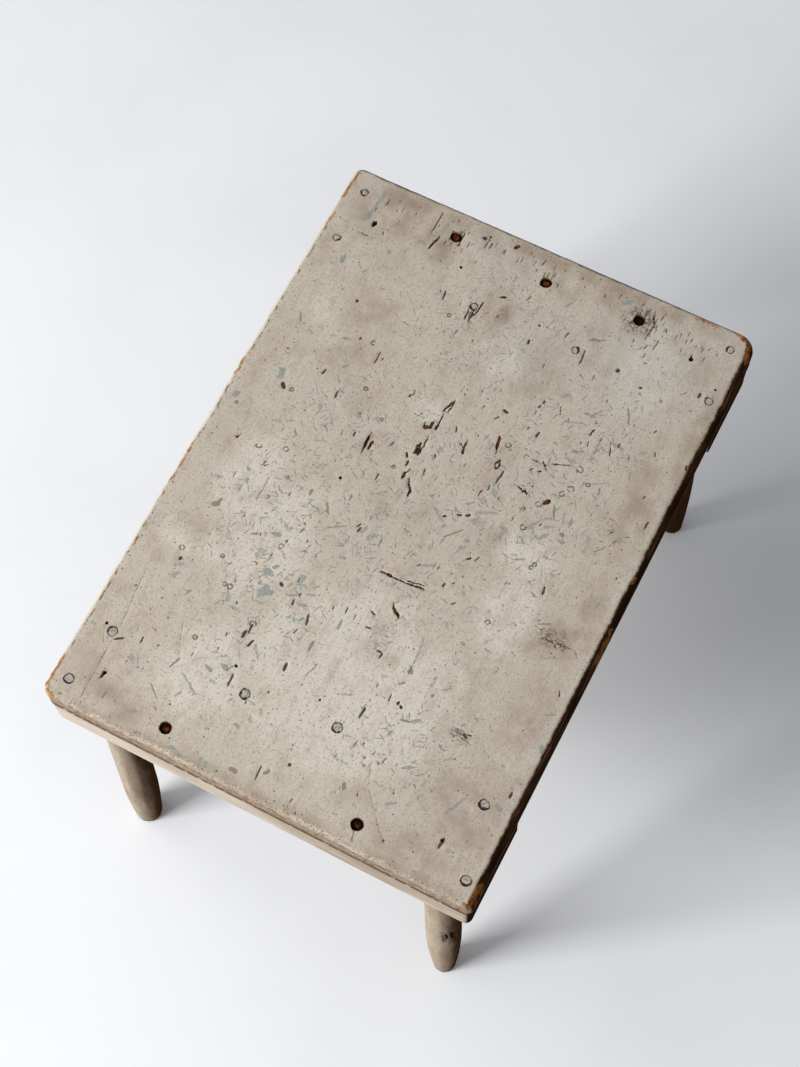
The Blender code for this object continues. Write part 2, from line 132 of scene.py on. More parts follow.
# Strokes on the seat's top in millimetres: from x, y to x, y, and the width. A dot starts where it ends.
BLUE_CHIPS = (
    (-181, 66, -171, 82, 2.2), (-162, 64, -160, 70, 3), (-168, 57, -167, 63, 2.6),
    (-156, 55, -154, 61, 3.6), (-180, 114, -176, 118, 4), (-100, 62, -92, 60, 7), (-97, 58, -95, 56, 4),
    (-93, 66, -91, 67, 2.4), (-84, 61, -82, 68, 5), (-79, 64, -76, 60, 3), (-114, 80, -109, 80, 3.6),
    (-116, 77, -116, 69, 2.4), (-137, 44, -132, 47, 3), (-94, 37, -93, 30, 3), (-79, 42, -76, 42, 5),
    (-105, 30, -101, 28, 2.4), (-98, 4, -90, 4, 2.6), (-187, 30, -186, 32, 2.4),
    (-180, 25, -178, 26, 2.4), (-115, 122, -110, 118, 3.2), (-108, 125, -103, 118, 2.4),
    (-168, 154, -168, 150, 2.4), (-210, 100, -208, 95, 2.6), (-221, 90, -220, 85, 3),
    (-220, 66, -219, 60, 3), (-221, 56, -222, 54, 3), (-219, 42, -215, 41, 2.4),
    (-221, 37, -217, 38, 2.6), (-178, -39, -175, -34, 2.4), (-133, -69, -128, -75, 2.4),
    (-100, -53, -98, -51, 2.4), (-163, -78, -158, -86, 2.8), (-189, -79, -185, -86, 2.4),
    (-168, -95, -162, -96, 3), (-140, -98, -138, -92, 2.6), (-100, -70, -97, -70, 2.6),
    (-220, -118, -219, -116, 2.4), (-158, -147, -157, -145, 4), (-119, -100, -118, -101, 2.4),
    (-38, 132, -36, 126, 3), (-23, 113, -22, 115, 3), (-40, 112, -36, 112, 2.6),
    (-31, 111, -30, 111, 3.2), (-53, 103, -52, 100, 3), (-17, 89, -16, 85, 3.4),
    (-76, 79, -74, 74, 4.4), (-71, 78, -70, 74, 3.6), (-57, 76, -56, 70, 3), (-50, 68, -48, 66, 3),
    (24, 44, 27, 43, 2.8), (39, 91, 44, 93, 3.6), (48, 131, 50, 125, 2.6), (50, 128, 54, 129, 5),
    (-29, 23, -24, 20, 3), (-32, 16, -26, 14, 4.2), (-44, 31, -43, 28, 3), (-41, 28, -37, 28, 3.4),
    (-52, 26, -51, 24, 2.6), (49, 3, 51, 2, 3), (21, 150, 26, 148, 4), (29, 154, 47, 154, 1.6),
    (3, -23, 10, -14, 3), (12, -41, 16, -46, 4), (-34, -22, -28, -33, 1.8), (20, -41, 25, -54, 2),
    (16, -66, 18, -60, 3), (28, -44, 32, -40, 3), (-8, -45, -8, -43, 3), (-2, -47, -2, -43, 2.6),
    (35, -48, 40, -44, 4), (42, -43, 45, -42, 2.6), (-63, -61, -60, -57, 2.6),
    (-42, -81, -40, -81, 2.4), (22, -75, 33, -82, 2.2), (28, -78, 21, -86, 2.4),
    (21, -87, 27, -92, 2.6), (30, -87, 32, -90, 3), (26, -99, 26, -104, 3), (37, -102, 45, -101, 2.6),
    (44, -137, 46, -137, 4), (-5, -143, -1, -144, 2.4), (95, 103, 98, 98, 3), (108, 32, 118, 22, 1),
    (149, 133, 156, 133, 4), (188, 134, 195, 133, 4), (195, 133, 218, 130, 3),
    (172, 106, 172, 106, 3.6), (190, 92, 190, 85, 2.4), (201, 79, 213, 78, 2.4),
    (108, -66, 113, -78, 2), (120, -74, 120, -83, 2.4), (124, -54, 128, -60, 2.4),
    (91, -84, 90, -79, 2.6), (94, -93, 109, -94, 1.6), (108, -101, 107, -111, 2.4),
    (102, -122, 105, -121, 3), (140, -109, 142, -108, 2.4), (210, -62, 215, -69, 4.5),
    (207, -8, 213, -7, 3), (151, -101, 150, -104, 2.4), (-113, -155, -108, -153, 4),
    (-178, -117, -161, -124, 2.2),
)
GREY_SCRAPES = (
    (-195, 87, -187, 97, 1.2), (-202, 84, -200, 86, 1.4), (-172, 91, -163, 88, 1.4),
    (-214, 20, -214, 17, 3.4), (-211, 120, -205, 120, 1.4), (-137, 8, -125, 4, 1),
    (-120, 14, -112, 14, 2), (-110, -54, -113, -50, 1.6), (-193, -51, -188, -50, 3),
    (-222, -72, -213, -70, 1.4), (-134, -62, -133, -69, 1.6),
    (-206, -1, -204, -2, 3), (-57, 123, -54, 119, 4), (-54, 120, -50, 119, 2), (-64, 89, -62, 84, 1.6),
    (-21, 67, -16, 67, 2.4), (-49, 60, -44, 58, 1.4), (-27, 49, -20, 54, 1.8), (-38, 46, -29, 33, 0.9),
    (-41, 98, -21, 98, 1), (-7, -29, 4, -39, 1.2), (39, -90, 48, -86, 1.4), (94, 136, 101, 140, 1.4),
    (172, -52, 178, -64, 1.2), (125, -106, 137, -100, 1.2), (-34, -114, -30, -121, 1.4),
    (-102, -53, -102, -53, 4), (-110, -74, -110, -74, 2.6), (152, -118, 152, -118, 2.6),
    (160, -81, 160, -81, 4), (15, 97, 17, 99, 1.4), (-2, 30, 6, 20, 0.7), (18, 146, 18, 146, 3),
)
BROWN_DASHES = (
    (-166, 50, -156, 51, 1.4), (-132, 58, -126, 58, 2.4), (-127, 56, -120, 56, 1.6),
    (-136, 52, -130, 50, 1.6), (-140, 22, -134, 23, 2.4), (-158, 24, -156, 24, 1.4),
    (-105, 24, -97, 26, 1.8), (-97, 39, -92, 40, 1.5), (-213, 3, -203, 4, 1.3), (-88, 51, -86, 54, 2.4),
    (-146, -38, -137, -38, 1.8), (-199, -123, -191, -124, 2.2), (-149, -149, -144, -149, 1.8),
    (-222, -24, -219, -24, 1.4), (-222, -31, -219, -30, 1.6), (-222, 148, -220, 146, 1.6),
    (-172, 134, -168, 128, 1.6), (23, 50, 41, 51, 1.5), (32, 61, 36, 61, 1.4), (64, 103, 69, 102, 1.6),
    (52, 86, 58, 87, 1.5), (43, 122, 45, 124, 3), (-30, 25, -26, 24, 1.6), (-6, 133, -4, 132, 2.2),
    (88, 74, 98, 74, 1), (76, 40, 78, 40, 1.8), (126, 108, 127, 108, 2), (155, 54, 162, 55, 1.6),
    (199, 86, 221, 86, 0.9), (200, 72, 209, 72, 1.1), (198, 64, 211, 64, 1.2), (205, 46, 216, 46, 0.9),
    (177, 136, 177, 122, 0.7), (100, 92, 102, 92, 1.6), (45, -43, 56, -44, 1.5),
    (152, -55, 164, -54, 1.2), (106, -85, 112, -86, 1.5), (88, -52, 93, -53, 2),
    (109, -44, 112, -45, 1.5), (113, -46, 116, -46, 1.6), (150, -16, 154, -15, 2),
    (166, -17, 168, -16, 1.6), (190, -88, 210, -89, 0.9), (202, -90, 211, -85, 1),
    (185, -96, 195, -97, 0.8), (166, -140, 170, -140, 2.2), (-14, -107, -8, -106, 1.7),
    (60, -148, 66, -148, 1.5), (98, -104, 109, -100, 1.1), (-76, -10, -78, -14, 1.5),
    (-88, -12, -87, -16, 1.4), (-99, -26, -99, -30, 1.5), (-87, -48, -87, -48, 1.4),
    (-102, 123, -101, 123, 2.4), (-194, -12, -194, -12, 2.6), (160, -81, 160, -81, 2.6),
    (213, 49, 213, 50, 3), (71, 134, 71, 134, 1.8), (155, -102, 155, -100, 1.8),
    (-194, 78, -194, 78, 1.8), (186, 127, 190, 126, 3.6), (12, -30, 13, -33, 2),
)
GOUGES = (
    (39, 14, 49, 17, 1.6), (39, 17, 47, 18, 1.4), (40, 16, 44, 17, 1.8), (38, 14, 56, 14, 1),
    (8, 6, 14, 7, 1.2), (12, 6, 16, 8, 1.8), (14, 8, 22, 12, 1.1), (19, 16, 24, 16, 2.4),
    (22, 16, 29, 14, 1), (28, 18, 33, 18, 1.2), (34, 20, 38, 22, 1.8), (60, 20, 62, 17, 3.2),
    (60, 21, 65, 21, 1), (61, 16, 67, 16, 2), (62, 12, 67, 12, 1.8), (66, 12, 80, 13, 1),
    (77, 14, 88, 10, 1.6), (76, 10, 88, 10, 1), (28, 47, 35, 47, 2.2), (27, 50, 37, 51, 2),
    (62, -34, 70, -32, 1), (68, -32, 78, -30, 2.4), (54, -38, 58, -36, 1), (58, -36, 62, -38, 1.2),
    (62, -38, 57, -40, 1), (57, -40, 54, -38, 1), (50, -58, 48, -62, 1.5), (48, -62, 50, -64, 1),
    (49, -62, 47, -66, 1.4), (74, -65, 71, -68, 1.2), (71, -68, 74, -69, 1), (71, -68, 69, -70, 1),
    (66, -65, 67, -67, 2.2), (72, -57, 72, -62, 1), (54, -13, 58, -12, 2), (58, -12, 66, -11, 1.2),
    (58, -12, 61, -8, 1), (6, -22, 8, -24, 1.6), (46, -79, 50, -82, 3), (14, -36, 16, -38, 2.2),
    (-48, -2, -48, -7, 1.2), (-48, -7, -48, -11, 2.6), (-48, -11, -48, -22, 1.2),
    (-48, -22, -46, -36, 1.4), (-46, -21, -44, -34, 1.1), (-72, -29, -67, -22, 2.4),
    (-67, -22, -64, -21, 0.9), (-127, -60, -126, -58, 2), (-126, -56, -124, -56, 1.8),
    (187, 82, 200, 79, 1.6), (147, 33, 158, 34, 1.1), (147, 30, 157, 30, 1.2), (155, 28, 166, 27, 1.3),
    (151, 31, 155, 28, 1), (-197, 128, -194, 127, 1.8), (-198, 128, -197, 128, 2.4),
    (190, -123, 194, -122, 1.2), (186, 126, 190, 127, 2.2), (97, -23, 96, -27, 2),
    (75, -71, 80, -84, 0.9), (175, 18, 177, 14, 1.8), (-146, -9, -146, -9, 1.8),
    (-14, -51, -12, -53, 1.2), (216, 26, 218, 25, 2.4),
)

# Cracks along the grain: lines of points in millimetres
CRACKS = (
    ((-221, 133), (-200, 134), (-176, 135), (-172, 135)),
    ((-163, 135), (-152, 136), (-138, 138), (-118, 140)),
    ((-165, 88), (-158, 92), (-137, 100)),
    ((-214, -92), (-197, -76), (-183, -64), (-168, -59)),
    ((-106, -53), (-88, -52), (-75, -50)),
)

# Small old nail holes and dents in millimetres: x, y and diameter
HOLES = (
    (0, 54, 2.2), (-151, 52, 2), (184, 54, 2.2), (-164, 144, 1.8), (177, -148, 1.6), (216, 46, 1.5),
)
RINGS = (
    (80, 40, 5), (-120, 56, 4.6), (44, -76, 4.2), (58, -87, 4.4), (64, -91, 4.8), (80, -90, 4.8),
    (58, -38, 3.4), (-146, 86, 4), (-104, 83, 4), (-104, 87, 3.2), (-94, 126, 4.2), (-4, 116, 4.2),
    (-14, 105, 3.8), (2, 98, 4), (-35, 92, 3), (-63, 66, 4.2), (44, 116, 3.6), (35, 100, 3.2),
    (48, 65, 3.8), (68, 70, 3.4), (52, 49, 3.2), (24, -74, 4.6), (36, -68, 3.4), (0, -92, 3.4),
    (3, -93, 3.6), (-18, -83, 3.2), (-48, -83, 3.6), (72, -100, 3.4), (31, -100, 3), (72, -53, 3.8),
    (74, -38, 4), (102, 82, 4), (146, 44, 3.4), (-82, 76, 3.6), (-87, 98, 3), (24, 25, 3),
)

# Soft smudges and rubbed places in millimetres: x, y, half length, half width and strength
STAINS = (
    (162, 11, 15, 10, 0.9), (128, 97, 7, 6, 0.8), (190, 77, 6, 5, 1), (-39, -127, 13, 17, 0.85),
    (-126, -101, 8, 12, 0.7), (-150, -129, 26, 12, 0.55), (45, -128, 26, 16, 0.5),
    (92, -133, 22, 12, 0.4), (-92, -26, 22, 20, 0.45), (-165, 129, 16, 6, 0.5),
    (-205, 128, 16, 14, 0.4), (208, 100, 16, 12, 0.45), (205, -76, 18, 16, 0.5),
    (-195, -60, 12, 30, 0.25), (5, 140, 30, 12, 0.35), (165, 100, 16, 22, 0.25),
    (85, 132, 14, 12, 0.35), (185, -135, 18, 12, 0.4), (160, -58, 12, 7, 0.4),
    (-175, -128, 46, 30, 0.8), (-208, -105, 20, 34, 0.6), (-40, -130, 22, 20, 0.9),
    (-90, -135, 42, 18, 0.6), (62, -138, 50, 16, 0.6), (200, 122, 28, 34, 0.95), (190, 74, 16, 14, 1),
    (218, -30, 9, 140, 0.9), (218, 60, 9, 60, 0.8), (-222, 20, 7, 140, 0.8), (130, -152, 70, 8, 0.7),
    (-190, 138, 34, 20, 0.5), (-222, -115, 7, 45, 0.9), (-20, -142, 30, 12, 0.9),
    (92, -130, 30, 18, 0.6), (214, 118, 12, 40, 1), (205, -20, 16, 20, 0.6), (-212, 118, 18, 36, 0.9),
    (202, 92, 22, 26, 0.8), (210, -60, 14, 22, 0.8), (30, 42, 18, 14, 0.5), (85, 85, 30, 24, 0.4),
    (125, 100, 22, 20, 0.45), (-35, -130, 22, 12, 0.6), (60, -38, 26, 16, 0.4), (135, -35, 34, 22, 0.4),
    (168, 18, 18, 14, 0.6), (-75, 128, 12, 14, 0.5), (0, -8, 26, 14, 0.3), (60, 145, 40, 10, 0.3),
    (155, 150, 22, 8, 0.45), (0, -135, 60, 16, 0.3), (212, 30, 12, 30, 0.4),
)
COOL = (
    (170, -92, 48, 44, 0.6), (150, -20, 34, 30, 0.4), (205, 30, 16, 24, 0.5),
)
FRESH = (
    (-128, -18, 78, 88, 1), (-38, -92, 34, 24, 0.8), (-30, 108, 44, 30, 0.7), (95, 122, 50, 20, 0.3),
    (-165, 70, 46, 36, 0.8), (-62, 75, 60, 40, 0.7), (5, -86, 26, 24, 0.7), (130, 0, 18, 34, 0.6),
    (72, 24, 14, 14, 0.6), (208, 26, 14, 14, 0.5), (-88, 128, 12, 40, 0.8), (165, -100, 40, 30, 0.6),
)
ABRASIONS = (
    (-39, -127, 8, 14, 1), (-126, -101, 5, 10, 0.9), (-92, -24, 22, 15, 0.45), (162, 11, 12, 8, 0.5),
    (202, -78, 15, 16, 0.8), (204, 68, 12, 9, 0.4),
)
CHIPPED = (
    (-100, 60, 55, 45, 1), (-60, 80, 60, 50, 0.8), (50, -80, 70, 45, 1), (110, -80, 40, 50, 0.9),
    (20, 70, 60, 60, 0.55), (-150, -60, 45, 60, 0.45), (150, 0, 60, 90, 0.4), (0, 0, 120, 120, 0.45),
)

# Bare orange wood at the worn corners, in millimetres
AMBER = (
    (-224, 150, -222, 157, 2.6), (-221, 158, -196, 158, 2.2), (-206, 157, -198, 157, 1),
    (-224, -153, -222, -158, 3), (-222, -158, -206, -158, 3.6), (196, 158, 221, 156, 2.2),
    (206, -158, 220, -154, 4.4), (221, -153, 224, -142, 3.2), (-42, -159, -14, -159, 2.4),
    (20, -157, 26, -158, 2.4), (111, -156, 116, -154, 1.8),
    (-108, 156, -100, 156, 1.4), (-60, 158, -20, 158, 1.2), (36, 158, 52, 158, 1.4),
    (168, 157, 182, 157, 1.6), (222, -110, 222, -132, 1.6),
)

# Small strokes strewn over the seat: how far out and how thinly at least, then for each kind their number,
# lengths, widths, bearings and the spread of the bearings in degrees
STREWN_X = 216
STREWN_Y = 151
LEAST_CROWD = 0.22
SEAT_SEED = 7
STREWN = {
    "blue": (353, (2.5, 8.0), (0.8, 1.7), (20, 70, 110, 150), 25),
    "grey": (127, (1.5, 7), (0.4, 1.0), (5, 60, 120), 25),
    "brown": (147, (1.0, 6.0), (0.5, 1.2), (0,), 12),
    "dark": (8, (0.8, 2.0), (0.5, 0.9), (0,), 20),
}

# Places with fine lines in the paint: x, y, half length, half width, number of lines and their bearing. Then
# the lines' lengths and widths, and the spread of their bearings in degrees
CRAZED = (
    (203, -78, 15, 15, 46, 0), (204, 68, 12, 9, 14, 0), (153, 31, 11, 6, 10, 0), (200, -6, 10, 7, 8, 0),
    (120, -60, 40, 45, 8, 0), (210, 20, 9, 60, 20, 0), (205, 112, 14, 26, 7, 0), (195, -122, 18, 18, 16, 0),
)
CRAZE_LINES = ((2.0, 6.0), (0.4, 0.8), 3)
SCRATCHED = ((-39, -127, 7, 13, 24, -105), (-126, -101, 5, 9, 12, -95), (40, -128, 24, 14, 10, -60))
SCRATCH_LINES = ((2.5, 8.0), (0.3, 0.55), 22)
LINE_SCATTER = 0.5

# Each kind of mark: how far it is bent, frayed, splintered and grown, and how deep it is sunk
MARKS = {
    "blue": (1.0, 0.35, 0.0, -0.15, 0.12),
    "grey": (0.6, 0.3, 0.0, 0.0, 0.12),
    "brown": (0.4, 0.2, 0.25, 0.0, 0.4),
    "dark": (0.5, 0.2, 0.35, -0.05, 0.9),
    "crack": (0.35, 0.2, 0.0, 0.1, 0.2),
    "amber": (1.2, 0.6, 0.0, 0.0, 0.0),
}
SOFT_SPOTS = {"stain": STAINS, "cool": COOL, "fresh": FRESH, "crowd": CHIPPED, "scuff": ABRASIONS}
SOFT_MARKS = ("ring", "rust", *SOFT_SPOTS)
RUST_SPOT = (6.4, 6.0, 1.0)
SPOT_EDGE = (0.25, 1.25)
MARK_WALL = (-0.25, 0.3)
FAR = 4.0
NOWHERE = -9.0
STROKE_THINNING = 0.55
FRAY_RIPPLES = ((0.5, 2.1, 3.7), (0.4, 0.9, 8.1))
CRACK_WIDTH = 0.4
RING_DEPTH = 0.22
RING_BEND = 0.6
RING_LINE = 0.8
RING_EDGE = (0.1, 0.75)
RING_MARGIN = 0.8
TOP_WAVE = 0.2
GRAIN_WAVE = 0.05

# Pits round the nails, screws and pins: rings are a share of the radius and a distance past it
PIT_RINGS = ((0.4, 0), (0.75, 0), (1, 0), (1, 0.3), (1, 0.75), (1, 1.5))
PIT_SPACING = 0.6
PIT_LEAST_SIDES = 8
PIT_CLEAR = 1.9
PIT_WALL = 0.3
PIT_RAG_LUMPS = 1.3
NAIL_GAP = 0.12
NAIL_PIT_DEPTH = 1.6
NAIL_RAG = 0.35
SCREW_GAP = 0.2
SCREW_PIT_DEPTH = 5.2
SCREW_RAG = 0.5
PIN_MOUTHS = {"back_left": 1.0, "front_left": 0.5, "front_right": 1.3, "back_right": 1.1}
PIN_PIT_DEPTH = 3.8
PIN_RAG = 0.5
HOLE_DEPTH = 2.4
HOLE_RAG = 0.4

# Planks
CORNERS = ((-1, -1), (1, -1), (1, 1), (-1, 1))
CORNER_STARTS = (180, 270, 0, 90)
LEAST_BEND = 0.6
MIDDLE_SHARE = 0.45
ON_EDGE = 0.02
SLIVER = 1e-7
ARC_STEPS = 8
STATION_SPACING = 1.6
FINE_SPACING = 0.65
FINE_MARGIN = 0.9
BASE_SPACING = 2.5
RIM_INSET = 6.6
RIM_CLEAR = 0.6
RIM_STEPS = 6
RIM_WIDTHS = {"front": 4.4, "back": 3.4, "near": 2.9, "far": 3.1}
RIM_HEIGHTS = {"front": 4.2, "back": 3.0, "near": 2.9, "far": 2.8}
RIM_RIPPLES = ((0.22, 24, 1.3), (0.16, 6, 7.7), (0.10, 2.6, 4.4))
RIM_MOST = 4.7
RIM_LEAST_WIDTH = 1.2
RIM_LEAST_HEIGHT = 1.0
RIM_PATH = 0.8
RIM_EASING = -4.0
NICK_START = 0.25
NICK_LEAST = 0.4
NICK_NEAR = 1.1
NICK_DROP = 0.6
UNDER_PATH = 40.0
UNDER_EDGE = 0.5
SIDE_STEPS = 5
SIDE_START = 5.0
SIDE_WAVE = 0.35
LOWER_ROUND = 0.8
LOWER_STEPS = 2
UNDER_SPACING = 7
UNDER_WAVE = 0.25
BATTEN_SPACING = 2.4
BATTEN_INSET = 3.0
BATTEN_TOP_ROUND = 0.8
BATTEN_LOW_ROUND = 1.8
BATTEN_STEPS = 9
BATTEN_RIPPLES = ((0.3, 15, 5.1), (0.2, 4, 2.9))
BATTEN_GRID = 6
SOCKET_RADIUS = 10.15
SOCKET_STEPS = 40
SOCKET_CLEAR = 1.5
SOILED_FROM = -10
SOILED_TO = 70

# Legs. A leg's marks: corner, from angle and height, to angle and height, width
LEG_SIDES = 96
LEG_SLOT = 0.5
LEG_FLATS = 9
LEG_FLAT_DEPTH = 0.22
LEG_DENT_DEPTH = 0.5
LEG_MARK_DEPTH = 0.7
LEG_MARK_WALL = (-0.4, 0.6)
LEG_SEEDS = 17
LEG_DENT_START = 0.35
LEG_MARK_RADIUS = 13.7
LEG_FOOT = 6
LEG_SHOULDER = 8
LEG_TENON = 1
LEG_STEPS = {"foot": 0.75, "middle": 1.6, "shoulder": 0.6}
LEG_TENON_ROWS = 4
LEG_FREE = 0.5
# Painted shade: the side of each leg that faces away from the windows turns brown and dark, and each leg gets
# this much more, most the front right one in the seat's shadow
LEG_SHADED_SIDE = np.array((0.45, -0.89))
LEG_EXTRA_SHADE = {"back_left": 0.0, "front_left": 0.0, "front_right": 1.3, "back_right": 0.3}
LEG_MARKS = (
    ("back_left", 128, 141, 146, 152, 3.4),
    ("front_left", 214, 141, 219, 127, 1.8), ("front_left", 232, 143, 236, 124, 2.4),
    ("front_left", 204, 140, 209, 119, 0.6), ("front_left", 243, 126, 246, 111, 0.5),
    ("front_left", 198, 146, 205, 145, 0.6), ("front_left", 222, 146, 229, 145, 0.8),
)

# Nails, screws and pins. A dark side: bearing in degrees and how far the dark rim leans in there
FASTENER_SIDES = 28
HEAD_SHARES = (0.2, 0.4, 0.6, 0.78, 0.9, 0.97, 1.0)
HEAD_ROUND = 0.2
HEAD_STEP = 0.5
LEVEL_NEAR = 0.01
SLOT_DEPTH = 1.0
SLOT_FILL = 0.8
SLOT_NEAR = 0.06
SLOT_SIDES = (0.35, 0.8)
LEAST_TIP = 0.05
SHANK_EDGE = 1.2
RUSTED_THROUGH = {"screw_front_right": 0.6, "screw_front_left": 0.15}
HEAD_LEANS = (0.0, 0.35)
DARK_SIDES = {
    "nail_middle_front_right": (-45, 1.1), "nail_outer_front_left": (180, 0.5),
    "nail_middle_front_left": (190, 0.4), "nail_outer_back_left": (170, 0.4),
    "nail_inner_front_left": (170, 0.5), "nail_inner_back_left": (80, 0.4),
}
SHARP_ANGLE = math.radians(40)

# Dirt and rubbing in the paint: lump size, stretch, from and to, share, colour, seed, detail and roughness
SEAT_GRIME = (
    (32, (1, 1, 1), 0.50, 0.76, 0.36, DIRTY, 5.0, 4.0, 0.65),
    (11, (1.5, 1, 1), 0.50, 0.74, 0.30, DIRTY, 6.0, 4.0, 0.65),
    (4.5, (1.4, 1, 1), 0.50, 0.70, 0.14, DIRTY, 7.0, 4.0, 0.65),
    (1.6, (14, 1, 1), 0.50, 0.74, 0.26, DIRTY, 8.0, 4.0, 0.65),
    (2.2, (1, 1, 1), 0.52, 0.68, 0.20, PALE, 10.0, 4.0, 0.65),
    (1.0, (1.3, 1, 1), 0.48, 0.66, 0.34, DIRTY, 11.0, 4.0, 0.65),
)
BATTEN_GRIME = (
    (1.0, (1, 26, 1), 0.48, 0.74, 0.5, BATTEN_BROWN, 5.0, 4.0, 0.6),
    (1.2, (1, 1, 1), 0.55, 0.8, 0.35, BATTEN_BROWN, 9.0, 4.0, 0.7),
)
LEG_GRIME = (
    (1.2, (1, 1, 22), 0.50, 0.76, 0.45, LEG_BROWN, 6.0, 4.0, 0.5),
    (1.6, (7, 7, 1), 0.52, 0.76, 0.2, LEG_BROWN, 8.0, 4.0, 0.6),
    (5, (1, 1, 1), 0.60, 0.74, 0.6, LEG_BROWN, 12.0, 5.0, 0.65),
    (1.3, (1, 1, 2), 0.48, 0.66, 0.35, LEG_BROWN, 13.0, 4.0, 0.65),
)

# Specks on the paint: cell, share of cells, size in a cell, colour, strength and seed
SPECK_GREY = (0.25, 0.22, 0.175, 1)
SPECK_BROWN = (0.09, 0.065, 0.045, 1)
SPECK_BLUE = (0.33, 0.345, 0.31, 1)
SPECK_FINE = (0.27, 0.24, 0.195, 1)
SPECKS = (
    (3.4, 0.26, 0.17, SPECK_GREY, 0.75, 2.0), (5.5, 0.10, 0.13, SPECK_BROWN, 0.75, 5.0),
    (6.0, 0.25, 0.16, SPECK_BLUE, 0.65, 9.0), (2.0, 0.34, 0.20, SPECK_FINE, 0.75, 12.0),
)
SPECK_WARP = (0.35, 0.4)

# Scratches in the paint: width of a cell, how much longer it is, share of cells, size in a cell, bearing in
# degrees, colour, strength and seed
SCRATCHES = (
    (4.0, 6, 0.20, 0.15, 20, BLUE_GREEN, 0.8, 61.0), (4.0, 6, 0.20, 0.15, 70, BLUE_COAT, 0.9, 62.0),
    (4.5, 5, 0.18, 0.14, 115, BLUE_GREEN, 0.8, 63.0), (4.0, 6, 0.18, 0.15, 150, BLUE_COAT, 0.9, 64.0),
    (3.0, 7, 0.12, 0.11, 35, GREY_COAT, 0.6, 65.0), (3.0, 6, 0.12, 0.11, 80, GREY_COAT, 0.6, 66.0),
    (3.0, 7, 0.12, 0.11, 125, GREY_COAT, 0.6, 67.0), (3.0, 6, 0.12, 0.11, 160, GREY_COAT, 0.6, 68.0),
    (3.0, 3, 0.07, 0.13, 0, BROWN_WOOD, 0.85, 69.0),
)
SCRATCH_WARP = (0.4, 2.5)
FRAY_SOFT = 0.14
SPECK_SOFT = 0.55


def smooth(value, low, high):
    """0 up to low, 1 from high on, and smooth between them."""
    share = np.clip((value - low) / (high - low), 0, 1)
    return share * share * (3 - 2 * share)


def ripple(points, size, seed):
    """Smooth noise from -1 to 1 at each point, with lumps of about this size."""
    scaled = np.asarray(points, float) / size
    return np.array([noise.noise((p[0] + seed, p[1] - seed, p[2] if len(p) > 2 else seed)) for p in scaled])


def wave(points, size, seed):
    """Smooth noise from 0 to 1 at each point, with lumps of about this size."""
    return 0.5 + 0.5 * ripple(points, size, seed)


def ripples(points, layers):
    """Layers of smooth noise added up: share, lump size and seed of each."""
    return sum(share * ripple(points, size, seed) for share, size, seed in layers)


def directions(angles):
    """The level directions at these angles."""
    return np.column_stack((np.cos(angles), np.sin(angles)))


def full_turn(count):
    """Angles spaced evenly round a circle."""
    return np.arange(count) * math.tau / count


def quarter_turn(steps):
    """Angles over a quarter of a circle, each with its sine and cosine."""
    angles = [math.pi / 2 * step / steps for step in range(steps + 1)]
    return [(angle, math.sin(angle), math.cos(angle)) for angle in angles]


def shares_between(steps):
    """The shares of a way at its inner steps, without its two ends."""
    return [step / steps for step in range(1, steps)]


def crossings(columns, rows):
    """Every point where a column and a row cross."""
    return np.stack(np.meshgrid(columns, rows), axis=-1).reshape(-1, 2)


def at_level(flat, level):
    """Flat points with the same level added to each."""
    return np.column_stack((flat, np.full(len(flat), level)))


def node_points(node):
    """A CAD node's corners, in millimetres."""
    return np.array([corner.co for corner in frame["nodes"][node].data.vertices]) / MM


def node_box(node):
    """A CAD node's lowest and highest corner, in millimetres."""
    low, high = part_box(node)
    return np.array(low) / MM, np.array(high) / MM


def node_middle(node):
    """The middle of a CAD node, seen from above, in millimetres."""
    low, high = node_box(node)
    return (low[:2] + high[:2]) / 2


def stroke_reach(points, strokes):
    """How far inside the nearest stroke each point lies, negative outside. Strokes thin out to their ends."""
    reach = np.full(len(points), NOWHERE)
    for x0, y0, x1, y1, width in strokes:
        start = np.array((x0, y0), float)
        along = np.array((x1 - x0, y1 - y0), float)
        length = max(float(along @ along), 1e-6)
        share = np.clip((points - start) @ along / length, 0, 1)
        away = np.linalg.norm(points - start - share[:, None] * along, axis=1)
        thinning = 1 - STROKE_THINNING * (2 * share - 1) ** 4 if length > width * width else 1
        reach = np.maximum(reach, width / 2 * thinning - away)
    return reach


def spot_strength(points, spots):
    """The strongest of soft oval spots at each point, from 0 to 1."""
    strength = np.zeros(len(points))
    for x, y, half_length, half_width, most in spots:
        away = np.hypot((points[:, 0] - x) / half_length, (points[:, 1] - y) / half_width)
        strength = np.maximum(strength, most * (1 - smooth(away, *SPOT_EDGE)))
    return strength


def ring_closeness(points):
    """How near each point lies to a ring dent's line, 1 on it and 0 well away from it."""
    closeness = np.zeros(len(points))
    for x, y, diameter in RINGS:
        away = np.abs(np.hypot(points[:, 0] - x, points[:, 1] - y) - (diameter - RING_LINE) / 2)
        closeness = np.maximum(closeness, 1 - smooth(away, *RING_EDGE))
    return closeness


def strewn(draw, count, lengths, widths, bearings, spread):
    """Small strokes strewn over the seat, closest together where its paint is most chipped."""
    strokes = []
    while len(strokes) < count:
        x = draw.uniform(-STREWN_X, STREWN_X)
        y = draw.uniform(-STREWN_Y, STREWN_Y)
        if draw.random() > LEAST_CROWD + spot_strength(np.array([(x, y)]), CHIPPED)[0]:
            continue
        angle = math.radians(draw.choice(bearings) + draw.gauss(0, spread))
        half = draw.uniform(*lengths) / 2
        across = half * math.cos(angle)
        up = half * math.sin(angle)
        strokes.append((x - across, y - up, x + across, y + up, draw.uniform(*widths)))
    return strokes


